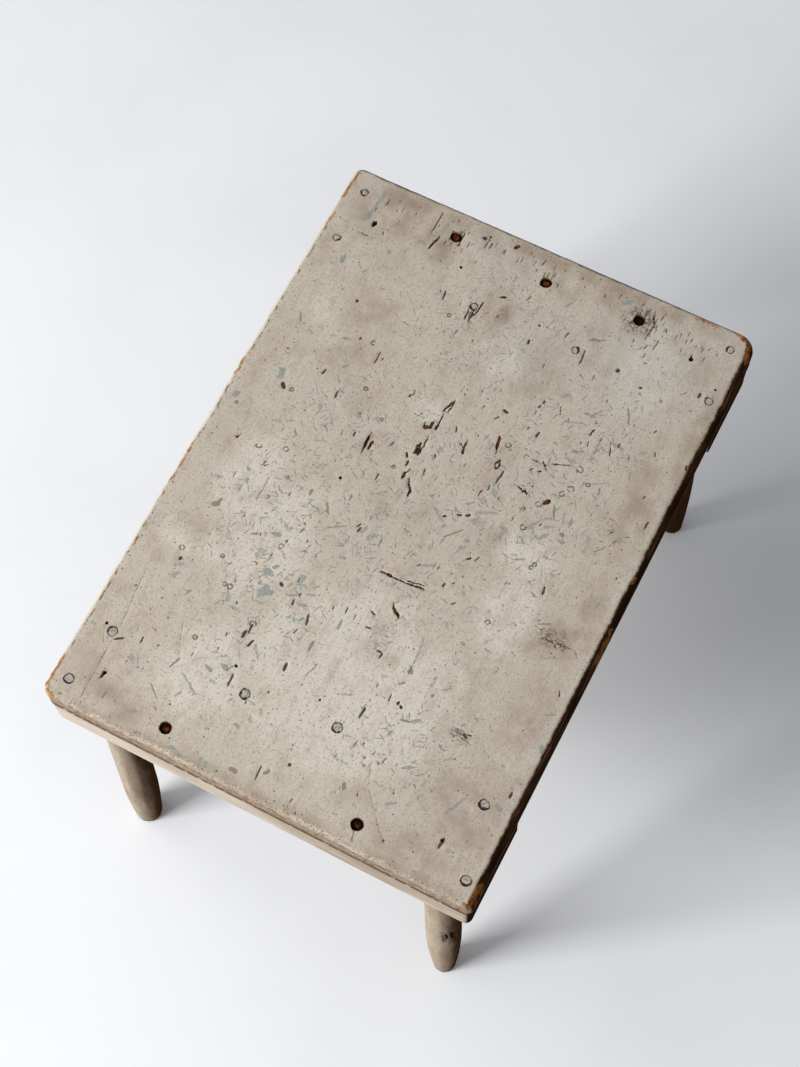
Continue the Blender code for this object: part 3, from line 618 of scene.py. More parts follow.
def crowded(draw, places, lengths, widths, spread):
    """Short fine lines crowded about places of the seat, each place with a bearing of its own."""
    lines = []
    for x, y, half_length, half_width, count, bearing in places:
        for _ in range(count):
            start_x = x + draw.gauss(0, LINE_SCATTER) * half_length
            start_y = y + draw.gauss(0, LINE_SCATTER) * half_width
            angle = math.radians(bearing + draw.gauss(0, spread))
            length = draw.uniform(*lengths)
            end_x = start_x + length * math.cos(angle)
            end_y = start_y + length * math.sin(angle)
            lines.append((start_x, start_y, end_x, end_y, draw.uniform(*widths)))
    return lines


def outline(low, high, radii, inset, edge_steps):
    """Places and outward directions round a rectangle with rounded corners, drawn in by inset."""
    arcs = []
    for (side_x, side_y), radius, start in zip(CORNERS, radii, CORNER_STARTS):
        corner = np.array((high[0] if side_x > 0 else low[0], high[1] if side_y > 0 else low[1]))
        bend = max(radius - inset, LEAST_BEND)
        centre = corner - np.array((side_x, side_y)) * (inset + bend)
        facing = directions(np.radians(start + np.linspace(0, 90, ARC_STEPS + 1)))
        arcs.append((centre + bend * facing, facing))
    places = []
    outward = []
    for index, (arc, facing) in enumerate(arcs):
        after = arcs[(index + 1) % len(arcs)][0][0]
        share = np.arange(1, edge_steps[index])[:, None] / edge_steps[index]
        straight = arc[-1] + share * (after - arc[-1])
        places += [arc, straight]
        outward += [facing, np.repeat(facing[-1:], len(straight), axis=0)]
    return np.vstack(places), np.vstack(outward)


def measured_radii(node, low, high):
    """The four corner radii of a plank, read from the ends of its straight sides."""
    points = node_points(node)
    middle = points[np.abs(points[:, 2] - (low[2] + high[2]) / 2) < (high[2] - low[2]) * MIDDLE_SHARE]
    radii = []
    for side_x, side_y in CORNERS:
        edge = high[1] if side_y > 0 else low[1]
        on_edge = middle[np.abs(middle[:, 1] - edge) < ON_EDGE]
        reach = on_edge[:, 0].max() if side_x > 0 else on_edge[:, 0].min()
        end = high[0] if side_x > 0 else low[0]
        radii.append(max(abs(end - reach), LEAST_BEND))
    return radii


def plank_edges(node, spacing, inset):
    """A plank's box, its outline with outward directions, and the outline drawn in by inset."""
    low, high = node_box(node)
    radii = measured_radii(node, low, high)
    length, width = (high - low)[:2]
    edge_steps = [int(span / spacing) for span in (length, width, length, width)]
    outer, facing = outline(low, high, radii, 0, edge_steps)
    inner, _ = outline(low, high, radii, inset, edge_steps)
    return low, high, outer, facing, inner


def plain_grid(low, high, inset, spacing):
    """A plain grid of points inside a rectangle, clear of its rim."""
    columns = np.arange(low[0] + inset + spacing / 2, high[0] - inset, spacing)
    rows = np.arange(low[1] + inset + spacing / 2, high[1] - inset, spacing)
    return crossings(columns, rows)


def fill(loop, inner, holes=()):
    """Triangles inside a loop, through the inner points and round the holes, counted loop, holes, inner."""
    loops = [loop, *holes]
    places = np.vstack([*loops, inner])
    edges = []
    start = 0
    for ring in loops:
        edges += [(start + step, start + (step + 1) % len(ring)) for step in range(len(ring))]
        start += len(ring)
    vectors = [Vector(place) for place in places]
    _, _, faces, sources, _, _ = geometry.delaunay_2d_cdt(vectors, edges, [], 1, 1e-6)
    origin = [source[0] for source in sources]
    triples = np.array([[origin[corner] for corner in face] for face in faces])
    first, second, third = (places[triples[:, corner]] for corner in range(3))
    turn = np.cross(second - first, third - first)
    triples[turn < 0] = triples[turn < 0][:, ::-1]
    triples = triples[np.abs(turn) > SLIVER]
    middle = places[triples].mean(axis=1)
    for ring in holes:
        centre = ring.mean(axis=0)
        reach = np.linalg.norm(ring - centre, axis=1).max()
        keep = np.linalg.norm(middle - centre, axis=1) > reach
        triples = triples[keep]
        middle = middle[keep]
    return triples


def renumbered(triples, count, loop_start, inner_start, flip=False):
    """A filled loop's triangles, with the numbers that its loop of count points and its inner points have."""
    shifted = np.where(triples < count, triples + loop_start, triples - count + inner_start)
    return (shifted[:, ::-1] if flip else shifted).tolist()


def band(first, second, count):
    """Quads between two closed rings of count points that start at these indices, first ring above."""
    return [(first + step, second + step, second + (step + 1) % count, first + (step + 1) % count)
            for step in range(count)]


def loft(rows, count):
    """Quads between closed rows of count points, each row under the one before."""
    return [face for row in range(rows - 1) for face in band(row * count, (row + 1) * count, count)]


def turned_faces(rows, count):
    """Faces of a turned piece from its first row down, both ends closed to middle points that come last."""
    faces = loft(rows, count)
    last = (rows - 1) * count
    middle = rows * count
    for step in range(count):
        after = (step + 1) % count
        faces += [(step, after, middle), (last + after, last + step, middle + 1)]
    return faces


def flipped(faces):
    """Faces turned to face the other way."""
    return [face[::-1] for face in faces]


def joined(rows):
    """Rows of an edge as one list of places and one of paths."""
    places = np.vstack([np.column_stack((place, level)) for place, level, _ in rows])
    paths = np.concatenate([np.broadcast_to(path, len(place)) for place, _, path in rows])
    return places, paths


def every_row(values, rows, total):
    """The same values on every row of an edge, and zero on the points after the rows."""
    repeated = np.tile(values, rows)
    return np.concatenate((repeated, np.zeros(total - len(repeated))))


def add_object(name, data):
    """A new object in the scene."""
    added = bpy.data.objects.new(name, data)
    bpy.context.scene.collection.objects.link(added)
    return added


def make_piece(node, places, faces, material, marks):
    """A mesh piece in millimetres that stands for a CAD node, with marks as named values on its points."""
    name = node + "_worn"
    mesh = bpy.data.meshes.new(name)
    mesh.from_pydata((np.asarray(places) * MM).tolist(), [], [tuple(map(int, face)) for face in faces])
    for key, values in marks.items():
        layer = mesh.attributes.new(key, "FLOAT", "POINT")
        layer.data.foreach_set("value", np.asarray(values, np.float32))
    mesh.shade_smooth()
    mesh.set_sharp_from_angle(angle=SHARP_ANGLE)
    mesh.materials.append(material)
    piece = add_object(name, mesh)
    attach(piece, BODY)
    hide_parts(node)


class Pit:
    """A round hole in the seat's top with a ragged rim: place, radius and depth in millimetres."""

    def __init__(self, kind, x, y, radius, depth, ragged):
        self.kind = kind
        self.centre = np.array((x, y))
        self.radius = radius
        self.depth = depth
        self.ragged = ragged

    def rim(self, angles):
        """The ragged radius at each angle."""
        turn = directions(angles) * PIT_RAG_LUMPS
        return self.radius + self.ragged * (0.5 + ripple(turn + self.centre, 1.0, 5.3))

    def points(self):
        """Rings of points on its floor, its wall and the wood round it."""
        rings = [self.centre[None, :]]
        for share, grow in PIT_RINGS:
            count = max(PIT_LEAST_SIDES, int(math.tau * (self.radius * share + grow) / PIT_SPACING))
            angles = full_turn(count)
            reach = self.rim(angles) * share + grow
            rings.append(self.centre + reach[:, None] * directions(angles))
        return np.vstack(rings)

    def depth_at(self, points):
        """How deep the pit is at each point, and how far inside its rim the point lies."""
        offset = points - self.centre
        away = np.linalg.norm(offset, axis=1)
        inside = np.full(len(points), NOWHERE)
        close = away < self.radius + self.ragged + FAR
        inside[close] = self.rim(np.arctan2(offset[close, 1], offset[close, 0])) - away[close]
        return self.depth * smooth(inside, -PIT_WALL, 0), inside


def seat_pits():
    """The pits that hold nails, screws and pins, where their nodes are, and the old empty holes."""
    pits = []
    for node in frame["nodes"]:
        low, high = node_box(node)
        x, y = node_middle(node)
        radius = (high[:2] - low[:2]).max() / 2
        if node.startswith("nail_"):
            pits.append(Pit("nail", x, y, radius + NAIL_GAP, NAIL_PIT_DEPTH, NAIL_RAG))
        elif node.startswith("screw_"):
            pits.append(Pit("hole", x, y, radius + SCREW_GAP, SCREW_PIT_DEPTH, SCREW_RAG))
        elif node.startswith("leg_pin_"):
            mouth = PIN_MOUTHS[node.removeprefix("leg_pin_")]
            pits.append(Pit("hole", x, y, mouth, PIN_PIT_DEPTH, PIN_RAG))
    return pits + [Pit("hole", x, y, size / 2 - PIT_WALL, HOLE_DEPTH, HOLE_RAG) for x, y, size in HOLES]


def seat_strokes(draw):
    """Every stroke on the seat by kind: those read from the photograph, and small ones drawn between them."""
    cracks = [(*start, *end, CRACK_WIDTH) for line in CRACKS for start, end in zip(line, line[1:])]
    return {
        "blue": [*BLUE_CHIPS, *strewn(draw, *STREWN["blue"])],
        "grey": [*GREY_SCRAPES, *strewn(draw, *STREWN["grey"])],
        "brown": [
            *BROWN_DASHES, *strewn(draw, *STREWN["brown"]), *crowded(draw, SCRATCHED, *SCRATCH_LINES),
        ],
        "dark": [*GOUGES, *strewn(draw, *STREWN["dark"])],
        "crack": [*cracks, *crowded(draw, CRAZED, *CRAZE_LINES)],
        "amber": AMBER,
    }


def seat_marks(points, strokes, pits):
    """The reach or strength of each kind of mark at points of the seat's top, and how deep they are sunk."""
    frays = ripples(points, FRAY_RIPPLES)
    splinters = ripple(points * (0.22, 1), 0.9, 4.9)
    swirl = np.column_stack((ripple(points, 3.6, 1.9), ripple(points, 3.6, 5.7)))
    swirl += 0.5 * np.column_stack((ripple(points, 1.3, 2.9), ripple(points, 1.3, 7.3)))
    marks = {}
    for kind, (bend, rag, splinter, growth, _) in MARKS.items():
        reach = stroke_reach(points + bend * swirl, strokes[kind]) + growth
        marks[kind] = np.clip(reach + rag * frays + splinter * splinters, -FAR, FAR)
    marks["ring"] = ring_closeness(points + RING_BEND * swirl)
    for kind, spots in SOFT_SPOTS.items():
        marks[kind] = spot_strength(points, spots)
    screws = [node_middle(node) for node in frame["nodes"] if node.startswith("screw_")]
    marks["rust"] = spot_strength(points, [(*place, *RUST_SPOT) for place in screws])
    for kind in ("hole", "nail"):
        marks[kind] = np.full(len(points), -FAR)
    sunk = TOP_WAVE * wave(points, 70, 2.2) + GRAIN_WAVE * wave(points * (0.08, 1), 2.4, 6.6)
    for kind, (*_, depth) in MARKS.items():
        sunk += depth * smooth(marks[kind], *MARK_WALL)
    sunk += RING_DEPTH * marks["ring"]
    for pit in pits:
        depth, inside = pit.depth_at(points)
        sunk = np.maximum(sunk, depth)
        marks[pit.kind] = np.maximum(marks[pit.kind], np.clip(inside, -FAR, FAR))
    return marks, sunk


def fine_cells(strokes):
    """Cells of a fine grid on or close beside the strokes."""
    cells = set()
    for stroke in strokes:
        *ends, width = stroke
        grow = width / 2 + FINE_MARGIN
        spans = []
        for start, end in zip(ends[:2], ends[2:]):
            first = math.floor((min(start, end) - grow) / FINE_SPACING)
            last = math.ceil((max(start, end) + grow) / FINE_SPACING)
            spans.append(np.arange(first, last + 1))
        grid = crossings(*spans)
        near = stroke_reach(grid * FINE_SPACING, [stroke]) > -FINE_MARGIN
        cells.update(map(tuple, grid[near]))
    return cells


def seat_inner_points(low, high, strokes, pits):
    """Points inside the seat's rim: fine on the marks, in rings round the pits and wide apart elsewhere."""
    marked = [stroke for kind in strokes for stroke in strokes[kind]]
    marked += [(x, y, x, y, size + RING_MARGIN) for x, y, size in RINGS]
    fine = fine_cells(marked)
    base = crossings(np.arange(low[0], high[0], BASE_SPACING), np.arange(low[1], high[1], BASE_SPACING))
    base[:, 0] += BASE_SPACING / 2 * (np.round((base[:, 1] - low[1]) / BASE_SPACING) % 2)
    beside = [(column, row) for column in (-1, 0, 1) for row in (-1, 0, 1)]
    cells = np.round(base / FINE_SPACING).astype(int)
    clear = [all((x + dx, y + dy) not in fine for dx, dy in beside) for x, y in cells]
    grid = np.vstack((np.array(sorted(fine)) * FINE_SPACING, base[np.array(clear)]))
    inside = np.minimum(grid - low[:2], high[:2] - grid).min(axis=1)
    grid = grid[inside > RIM_INSET + RIM_CLEAR]
    keep = np.ones(len(grid), bool)
    for pit in pits:
        keep &= np.linalg.norm(grid - pit.centre, axis=1) > pit.radius + pit.ragged + PIT_CLEAR
    return np.vstack([grid[keep], *[pit.points() for pit in pits]])


def rim_profile(facing, places):
    """How far each station faces each side, and the width and height of the seat's worn upper edge there."""
    sides = {
        "front": np.clip(-facing[:, 1], 0, 1), "back": np.clip(facing[:, 1], 0, 1),
        "near": np.clip(-facing[:, 0], 0, 1), "far": np.clip(facing[:, 0], 0, 1),
    }
    total = sum(share ** 2 for share in sides.values())
    width = sum(share ** 2 * RIM_WIDTHS[side] for side, share in sides.items()) / total
    height = sum(share ** 2 * RIM_HEIGHTS[side] for side, share in sides.items()) / total
    lumps = ripples(places, RIM_RIPPLES)
    width = np.clip(width * (1 + lumps), RIM_LEAST_WIDTH, RIM_MOST)
    height = np.clip(height * (1 + lumps), RIM_LEAST_HEIGHT, RIM_MOST)
    return sides, width, height


def seat_rows(top, bottom, outer, facing, inner):
    """The sides that stations face, rows over the seat's edge with their paths, and the path at its foot."""
    count = len(outer)
    sides, width, height = rim_profile(facing, outer)
    nick = np.clip(ripple(outer, 3.2, 9.9) - NICK_START, 0, 1) * (NICK_LEAST + NICK_NEAR * sides["near"])
    start = outer - facing * width[:, None]
    flat = np.linalg.norm(inner - start, axis=1)
    rows = [(inner, np.full(count, top), -flat), ((inner + start) / 2, np.full(count, top), -flat / 2)]
    for angle, sine, cosine in quarter_turn(RIM_STEPS):
        bite = nick * math.sin(2 * angle)
        inset = width * (1 - sine) + bite
        drop = height * (1 - cosine) + bite * NICK_DROP
        rows.append((outer - facing * inset[:, None], top - drop, width * angle * RIM_PATH))
    rounded = width * math.pi / 2 * RIM_PATH
    for share in shares_between(SIDE_STEPS):
        level = (top - height) * (1 - share) + (bottom + LOWER_ROUND) * share
        rough = SIDE_WAVE * wave(np.column_stack((outer, level)) * (0.25, 0.25, 1), 3.0, 12.1)
        rows.append((outer - facing * rough[:, None], level, rounded + (top - height - level)))
    side_path = rounded + (top - height - bottom)
    for _, sine, cosine in quarter_turn(LOWER_STEPS):
        level = np.full(count, bottom + LOWER_ROUND * (1 - sine))
        rows.append((outer - facing * LOWER_ROUND * (1 - cosine), level, side_path))
    rows.append((inner, np.full(count, bottom), side_path + RIM_INSET))
    return sides, rows, side_path


def make_seat(material):
    """The seat plank with its worn rim, waves, chips, gouges and nail pits."""
    low, high, outer, facing, inner = plank_edges("seat_board", STATION_SPACING, RIM_INSET)
    top, bottom = high[2], low[2]
    count = len(outer)
    strokes = seat_strokes(random.Random(SEAT_SEED))
    pits = seat_pits()
    sides, rows, side_path = seat_rows(top, bottom, outer, facing, inner)
    rim_places, rim_path = joined(rows)
    on_top = seat_inner_points(low, high, strokes, pits)
    underside = plain_grid(low, high, RIM_INSET, UNDER_SPACING)

    flat = np.vstack((rim_places[:, :2], on_top))
    marks, sunk = seat_marks(flat, strokes, pits)
    easing = smooth(np.concatenate((-rim_path, np.ones(len(on_top)))), RIM_EASING, 0.0)
    levels = np.concatenate((rim_places[:, 2], np.full(len(on_top), top))) - sunk * easing
    low_levels = bottom + UNDER_WAVE * wave(underside * (0.05, 1), 6, 3.3)
    places = np.vstack((np.column_stack((flat, levels)), np.column_stack((underside, low_levels))))
    faces = loft(len(rows), count)
    faces += renumbered(fill(inner, on_top), count, 0, len(rim_places))
    faces += renumbered(fill(inner, underside), count, (len(rows) - 1) * count, len(flat), flip=True)

    above = np.zeros(len(on_top), bool)
    below = np.ones(len(underside), bool)
    under_side = np.concatenate((rim_path > np.tile(side_path, len(rows)) - UNDER_EDGE, above, below))
    upright = np.concatenate((rim_path > SIDE_START, above, below))
    for key in marks:
        empty = 0.0 if key in SOFT_MARKS else -FAR
        marks[key] = np.concatenate((marks[key], np.full(len(underside), empty)))
        marks[key][under_side if key == "amber" else upright] = empty
    path_parts = (rim_path, np.full(len(on_top), NOWHERE), np.full(len(underside), UNDER_PATH))
    marks["rim"] = np.concatenate(path_parts)
    for side, share in sides.items():
        marks[side] = every_row(share, len(rows), len(places))
    marks["under"] = under_side.astype(float)
    make_piece("seat_board", places, faces, material, marks)


def leg_axis(corner):
    """A leg's foot on the floor and how far its axis moves sideways for each millimetre up."""
    mounts = {mount["name"]: mount["pos_m"] for mount in frame["record"]["mounts"]}
    foot = np.array(mounts["foot_" + corner][:2]) / MM
    slope = (node_middle("leg_pin_" + corner) - foot) / node_box("seat_board")[1][2]
    return foot, slope


def batten_rows(top, bottom, outer, facing, inner):
    """Rows over a batten's side from its top to its underside, with their paths."""
    count = len(outer)
    wear = 1 + ripples(outer, BATTEN_RIPPLES)
    upper = BATTEN_TOP_ROUND * wear
    lower = BATTEN_LOW_ROUND * wear
    rows = [(inner, np.full(count, top), -BATTEN_INSET)]
    for _, sine, cosine in quarter_turn(LOWER_STEPS):
        inset = upper * (1 - sine)
        rows.append((outer - facing * inset[:, None], top - upper * (1 - cosine), 0.0))
    for share in shares_between(BATTEN_STEPS):
        level = (top - upper) * (1 - share) + (bottom + lower) * share
        rough = SIDE_WAVE * wave(np.column_stack((outer, level)) * (0.1, 0.1, 1), 2.6, 2.1)
        rows.append((outer - facing * rough[:, None], level, top - level))
    for _, sine, cosine in quarter_turn(RIM_STEPS):
        inset = lower * (1 - cosine)
        level = bottom + lower * (1 - sine)
        rows.append((outer - facing * inset[:, None], level, top - level))
    rows.append((inner, np.full(count, bottom), top - bottom + BATTEN_INSET))
    return rows


def make_batten(end, material):
    """A cross batten with eased edges, saw marks and the two bores that take the legs' tenons."""
    node = "batten_" + end
    low, high, outer, facing, inner = plank_edges(node, BATTEN_SPACING, BATTEN_INSET)
    top, bottom = high[2], low[2]
    count = len(outer)
    rows = batten_rows(top, bottom, outer, facing, inner)
    places, path = joined(rows)
    faces = loft(len(rows), count)
    circle = directions(full_turn(SOCKET_STEPS)) * SOCKET_RADIUS
    axes = [leg_axis(side + "_" + end) for side in ("front", "back")]
    grid = plain_grid(low, high, BATTEN_INSET, BATTEN_GRID)
    sockets = []
    for level, row, flip in ((top, 0, False), (bottom, len(rows) - 1, True)):
        holes = [foot + slope * level + circle for foot, slope in axes]
        away = [np.linalg.norm(grid - hole.mean(axis=0), axis=1) for hole in holes]
        clear = grid[np.min(away, axis=0) > SOCKET_RADIUS + SOCKET_CLEAR]
        extra = np.vstack((*holes, clear))
        faces += renumbered(fill(inner, clear, holes), count, row * count, len(places), flip)
        sockets.append(len(places))
        dip = UNDER_WAVE * wave(extra * (1, 0.05), 5, 1.9)
        places = np.vstack((places, np.column_stack((extra, level + (dip if flip else -dip)))))
        path = np.concatenate((path, np.full(len(extra), top - level)))
    for index in range(len(axes)):
        upper, lower = (start + index * SOCKET_STEPS for start in sockets)
        faces += flipped(band(upper, lower, SOCKET_STEPS))
    marks = {
        "path": path,
        "soiled": smooth(-places[:, 1], SOILED_FROM, SOILED_TO),
        "front": every_row(np.clip(-facing[:, 1], 0, 1), len(rows), len(places)),
    }
    make_piece(node, places, faces, material, marks)


def leg_radius(node, foot, slope):
    """A leg's radius by height, read from its node."""
    axis = np.array((*slope, 1.0))
    stretch = np.linalg.norm(axis)
    axis /= stretch
    offset = node_points(node) - np.array((*foot, 0.0))
    along = offset @ axis
    away = np.linalg.norm(offset - along[:, None] * axis, axis=1)
    slots = np.round(along / LEG_SLOT).astype(int)
    keys = sorted(set(slots))
    return np.array(keys) * LEG_SLOT / stretch, np.array([away[slots == key].max() for key in keys])


def leg_levels(shoulder, top):
    """Heights of a leg's rows, close together at its foot and its shoulder."""
    below = shoulder - LEG_SHOULDER
    above = shoulder + LEG_TENON
    return np.concatenate((
        np.arange(0, LEG_FOOT, LEG_STEPS["foot"]), np.arange(LEG_FOOT, below, LEG_STEPS["middle"]),
        np.arange(below, above, LEG_STEPS["shoulder"]), np.linspace(above, top, LEG_TENON_ROWS),
    ))


def make_leg(corner, material):
    """A leg turned by hand: slight flats from the spokeshave, small dents and the marks seen on it."""
    node = "leg_" + corner
    foot, slope = leg_axis(corner)
    heights, radii = leg_radius(node, foot, slope)
    top = node_box(node)[1][2]
    shoulder = node_box("batten_left")[0][2]
    angles = full_turn(LEG_SIDES)
    turn = directions(angles)
    once_round = (math.tau * LEG_MARK_RADIUS, 0)
    seed = sum(map(ord, corner)) % LEG_SEEDS
    strokes = [(math.radians(a0) * LEG_MARK_RADIUS, z0, math.radians(a1) * LEG_MARK_RADIUS, z1, width)
               for place, a0, z0, a1, z1, width in LEG_MARKS if place == corner]
    rows = []
    dark = []
    for level in leg_levels(shoulder, top):
        radius = np.interp(level, heights, radii)
        free = 1.0 if level < shoulder - LEG_FREE else 0.0
        uneven = 1.5 * ripple(at_level(turn * 2.2, level / 60), 1.0, seed)
        flats = 0.5 + 0.5 * np.cos(LEG_FLATS * angles + seed + uneven)
        dents = np.clip(ripple(at_level(turn * 14, level), 9, seed + 3) - LEG_DENT_START, 0, 1)
        unrolled = at_level(angles * LEG_MARK_RADIUS, level)
        reach = np.maximum(stroke_reach(unrolled, strokes), stroke_reach(unrolled - once_round, strokes))
        reach += 0.5 * ripple(unrolled, 2.2, seed)
        gouged = smooth(reach, *LEG_MARK_WALL)
        inward = free * (LEG_FLAT_DEPTH * flats + LEG_DENT_DEPTH * dents + LEG_MARK_DEPTH * gouged)
        rows.append(at_level(foot + slope * level + turn * (radius - inward)[:, None], level))
        dark.append(np.clip(reach, -FAR, FAR))
    places = np.vstack((*rows, (*foot, 0.0), (*(foot + slope * top), top)))
    faces = flipped(turned_faces(len(rows), LEG_SIDES))
    marks = {
        "dark": np.concatenate((*dark, (-FAR, -FAR))),
        "rise": places[:, 2],
        # worn carries painted shade: how far each point faces away from the windows, plus the leg's extra shade
        "worn": every_row(turn @ LEG_SHADED_SIDE, len(rows), len(places)) + LEG_EXTRA_SHADE[corner],
    }
    make_piece(node, places, faces, material, marks)


def turned_path(node):
    """A turned fastener's centre, and its path from the rim of its head to its tip, as heights and radii."""
    points = node_points(node)
    low, high = points.min(axis=0), points.max(axis=0)
    centre = (low + high)[:2] / 2
    away = np.linalg.norm(points[:, :2] - centre, axis=1)
    path = []
    for level in sorted(set(points[:, 2].round(2)), reverse=True):
        here = away[points[:, 2].round(2) == level]
        path.append((level, here.max()))
        if here.max() - here.min() > HEAD_STEP and level < high[2] - LEVEL_NEAR:
            path.append((level, here.min()))
    return centre, path


def slot_across(node, centre, top):
    """The direction across a screw's slot, read from the corners of the slot's floor."""
    points = node_points(node)
    floor = points[np.abs(points[:, 2] - top + SLOT_DEPTH) < SLOT_NEAR][:, :2] - centre
    return np.linalg.svd(floor, full_matrices=False)[2][1]


def make_fastener(node, material, hammered, slotted):
    """A nail, screw or pin turned from its node's own path, with a beaten head and, on a screw, its slot."""
    centre, path = turned_path(node)
    angles = full_turn(FASTENER_SIDES)
    turn = directions(angles)
    top, head = path[0]
    uneven = random.Random(node)
    bearing, lean = DARK_SIDES.get(node, (uneven.uniform(0, 360), uneven.uniform(*HEAD_LEANS)))
    rows = []
    edge = []
    for share in HEAD_SHARES:
        flat = turn * head * share
        level = top - HEAD_ROUND * share ** 6 - hammered * wave(flat + centre, 1.6, 3.1)
        if slotted:
            beside = np.abs(flat @ slot_across(node, centre, top))
            level = level - SLOT_DEPTH * SLOT_FILL * (1 - smooth(beside, *SLOT_SIDES))
        rows.append(np.column_stack((flat + centre, level)))
        edge.append(share + lean * share * np.cos(angles - math.radians(bearing)))
    for level, radius in path[1:]:
        rows.append(at_level(turn * max(radius, LEAST_TIP) + centre, level))
        edge.append(np.full(FASTENER_SIDES, SHANK_EDGE))
    places = np.vstack((*rows, (*centre, rows[0][:, 2].mean()), (*centre, path[-1][0])))
    marks = {"edge": np.concatenate((*edge, (0.0, SHANK_EDGE))) + RUSTED_THROUGH.get(node, 0.0)}
    make_piece(node, places, turned_faces(len(rows), FASTENER_SIDES), material, marks)


class Coat:
    """A node material built up in layers. Sizes are in millimetres of the object's own coordinates."""

    def __init__(self, name, roughness):
        self.material = bpy.data.materials.new(name)
        self.material.use_nodes = True
        self.tree = self.material.node_tree
        self.shader = self.tree.nodes["Principled BSDF"]
        self.shader.inputs["Metallic"].default_value = 0.0
        self.shader.inputs["Roughness"].default_value = roughness
        self.shader.inputs["Specular IOR Level"].default_value = MATT
        self.place = self.add("ShaderNodeTexCoord").outputs["Object"]

    def add(self, kind, inputs=None, **settings):
        """A new node with these settings and inputs."""
        node = self.tree.nodes.new(kind)
        for key, value in settings.items():
            setattr(node, key, value)
        for key, value in (inputs or {}).items():
            self.feed(node.inputs[key], value)
        return node

    def feed(self, socket, value):
        """Links a node's output to a socket, or sets the socket to a constant."""
        if isinstance(value, bpy.types.NodeSocket):
            self.tree.links.new(value, socket)
        else:
            socket.default_value = value

    def mark(self, name):
        """A named value that the mesh carries on its points."""
        return self.add("ShaderNodeAttribute", attribute_name=name).outputs["Fac"]

    def math(self, operation, first, second):
        return self.add("ShaderNodeMath", {0: first, 1: second}, operation=operation).outputs[0]

    def times(self, first, *others):
        """The product of values."""
        for other in others:
            first = self.math("MULTIPLY", first, other)
        return first

    def plus(self, first, second, share=1.0):
        """A value and a share of another one."""
        return self.math("ADD", first, second if share == 1.0 else self.times(second, share))

    def vector(self, operation, first, inputs):
        return self.add("ShaderNodeVectorMath", {0: first, **inputs}, operation=operation).outputs[0]

    def scaled(self, place, size, stretch, seed):
        """A place divided by the size, longer along the axes with a stretch above one."""
        factors = tuple(1 / (size * MM * part) for part in stretch)
        shift = (seed, seed * 1.7, seed * 0.6)
        inputs = {"Vector": place, "Location": shift, "Scale": factors}
        return self.add("ShaderNodeMapping", inputs).outputs[0]

    def swirled(self, amount, lump, seed):
        """The place moved about: how far, and in lumps of what size."""
        where = self.scaled(self.place, lump, (1, 1, 1), seed + 3)
        swirl = self.add("ShaderNodeTexNoise", {"Vector": where, "Scale": 1.0, "Detail": 2.0})
        middle = self.vector("SUBTRACT", swirl.outputs["Color"], {1: (0.5, 0.5, 0.5)})
        shift = self.vector("SCALE", middle, {"Scale": amount * MM})
        return self.vector("ADD", self.place, {1: shift})

    def noise(self, size, detail=4.0, stretch=(1, 1, 1), seed=0.0, rough=0.5):
        """Smooth noise from 0 to 1 with lumps of about this size."""
        place = self.scaled(self.place, size, stretch, seed)
        inputs = {"Vector": place, "Scale": 1.0, "Detail": detail, "Roughness": rough}
        return self.add("ShaderNodeTexNoise", inputs).outputs["Fac"]

    def centred(self, size, **choices):
        """Smooth noise from -0.5 to 0.5."""
        return self.math("SUBTRACT", self.noise(size, **choices), 0.5)

    def step(self, value, low, high):
        """0 up to low, 1 from high on."""
        inputs = {"Value": value, "From Min": low, "From Max": high}
        return self.add("ShaderNodeMapRange", inputs, interpolation_type="SMOOTHSTEP").outputs["Result"]

    def span(self, value, least, most, low=0.0, high=1.0):
        """From least to most in a straight line as the value goes from low to high."""
        inputs = {"Value": value, "From Min": low, "From Max": high, "To Min": least, "To Max": most}
        return self.add("ShaderNodeMapRange", inputs).outputs["Result"]

    def patches(self, size, low, high, **choices):
        """Patches of about this size: 0 where the noise is up to low, 1 from high on."""
        return self.step(self.noise(size, **choices), low, high)

    def shown(self, name, low, high):
        """0 where the mesh's mark is up to low, 1 from high on."""
        return self.step(self.mark(name), low, high)

    def frayed(self, name, fray, amount):
        """1 where the mesh's mark is positive, with a frayed edge."""
        return self.step(self.plus(self.mark(name), fray, amount), -FRAY_SOFT, FRAY_SOFT)

    def over(self, colour, tint, *shares):
        """A tint laid over a colour where all the shares allow."""
        node = self.add("ShaderNodeMix", data_type="RGBA")
        for index, value in ((0, self.times(*shares)), (6, colour), (7, tint)):
            self.feed(node.inputs[index], value)
        return node.outputs[2]

    def weathered(self, colour, layers):
        """Layers of dirt and rubbing over a colour."""
        for size, stretch, low, high, share, tint, seed, detail, rough in layers:
            grime = self.patches(size, low, high, detail=detail, stretch=stretch, seed=seed, rough=rough)
            colour = self.over(colour, tint, grime, share)
        return colour

    def specks(self, cell, share, size, seed, warp, stretch=(1, 1, 1), turn=0.0):
        """Scattered specks: one in some cells of this size, as large as this part of a cell."""
        amount, lump = warp
        place = self.swirled(cell * amount, cell * lump, seed)
        if turn:
            place = self.add("ShaderNodeMapping", {"Vector": place, "Rotation": (0, 0, turn)}).outputs[0]
        inputs = {"Vector": self.scaled(place, cell, stretch, seed), "Scale": 1.0}
        cells = self.add("ShaderNodeTexVoronoi", inputs, voronoi_dimensions="2D")
        number = self.add("ShaderNodeSeparateColor", {0: cells.outputs["Color"]}).outputs[0]
        chosen = self.math("LESS_THAN", number, share)
        return self.times(chosen, self.step(cells.outputs["Distance"], size, size * SPECK_SOFT))

    def bump(self, height, distance, under=None):
        """A bump of this height in millimetres over another."""
        inputs = {"Height": height, "Distance": distance * MM, "Strength": 1.0}
        if under is not None:
            inputs["Normal"] = under
        return self.add("ShaderNodeBump", inputs).outputs["Normal"]

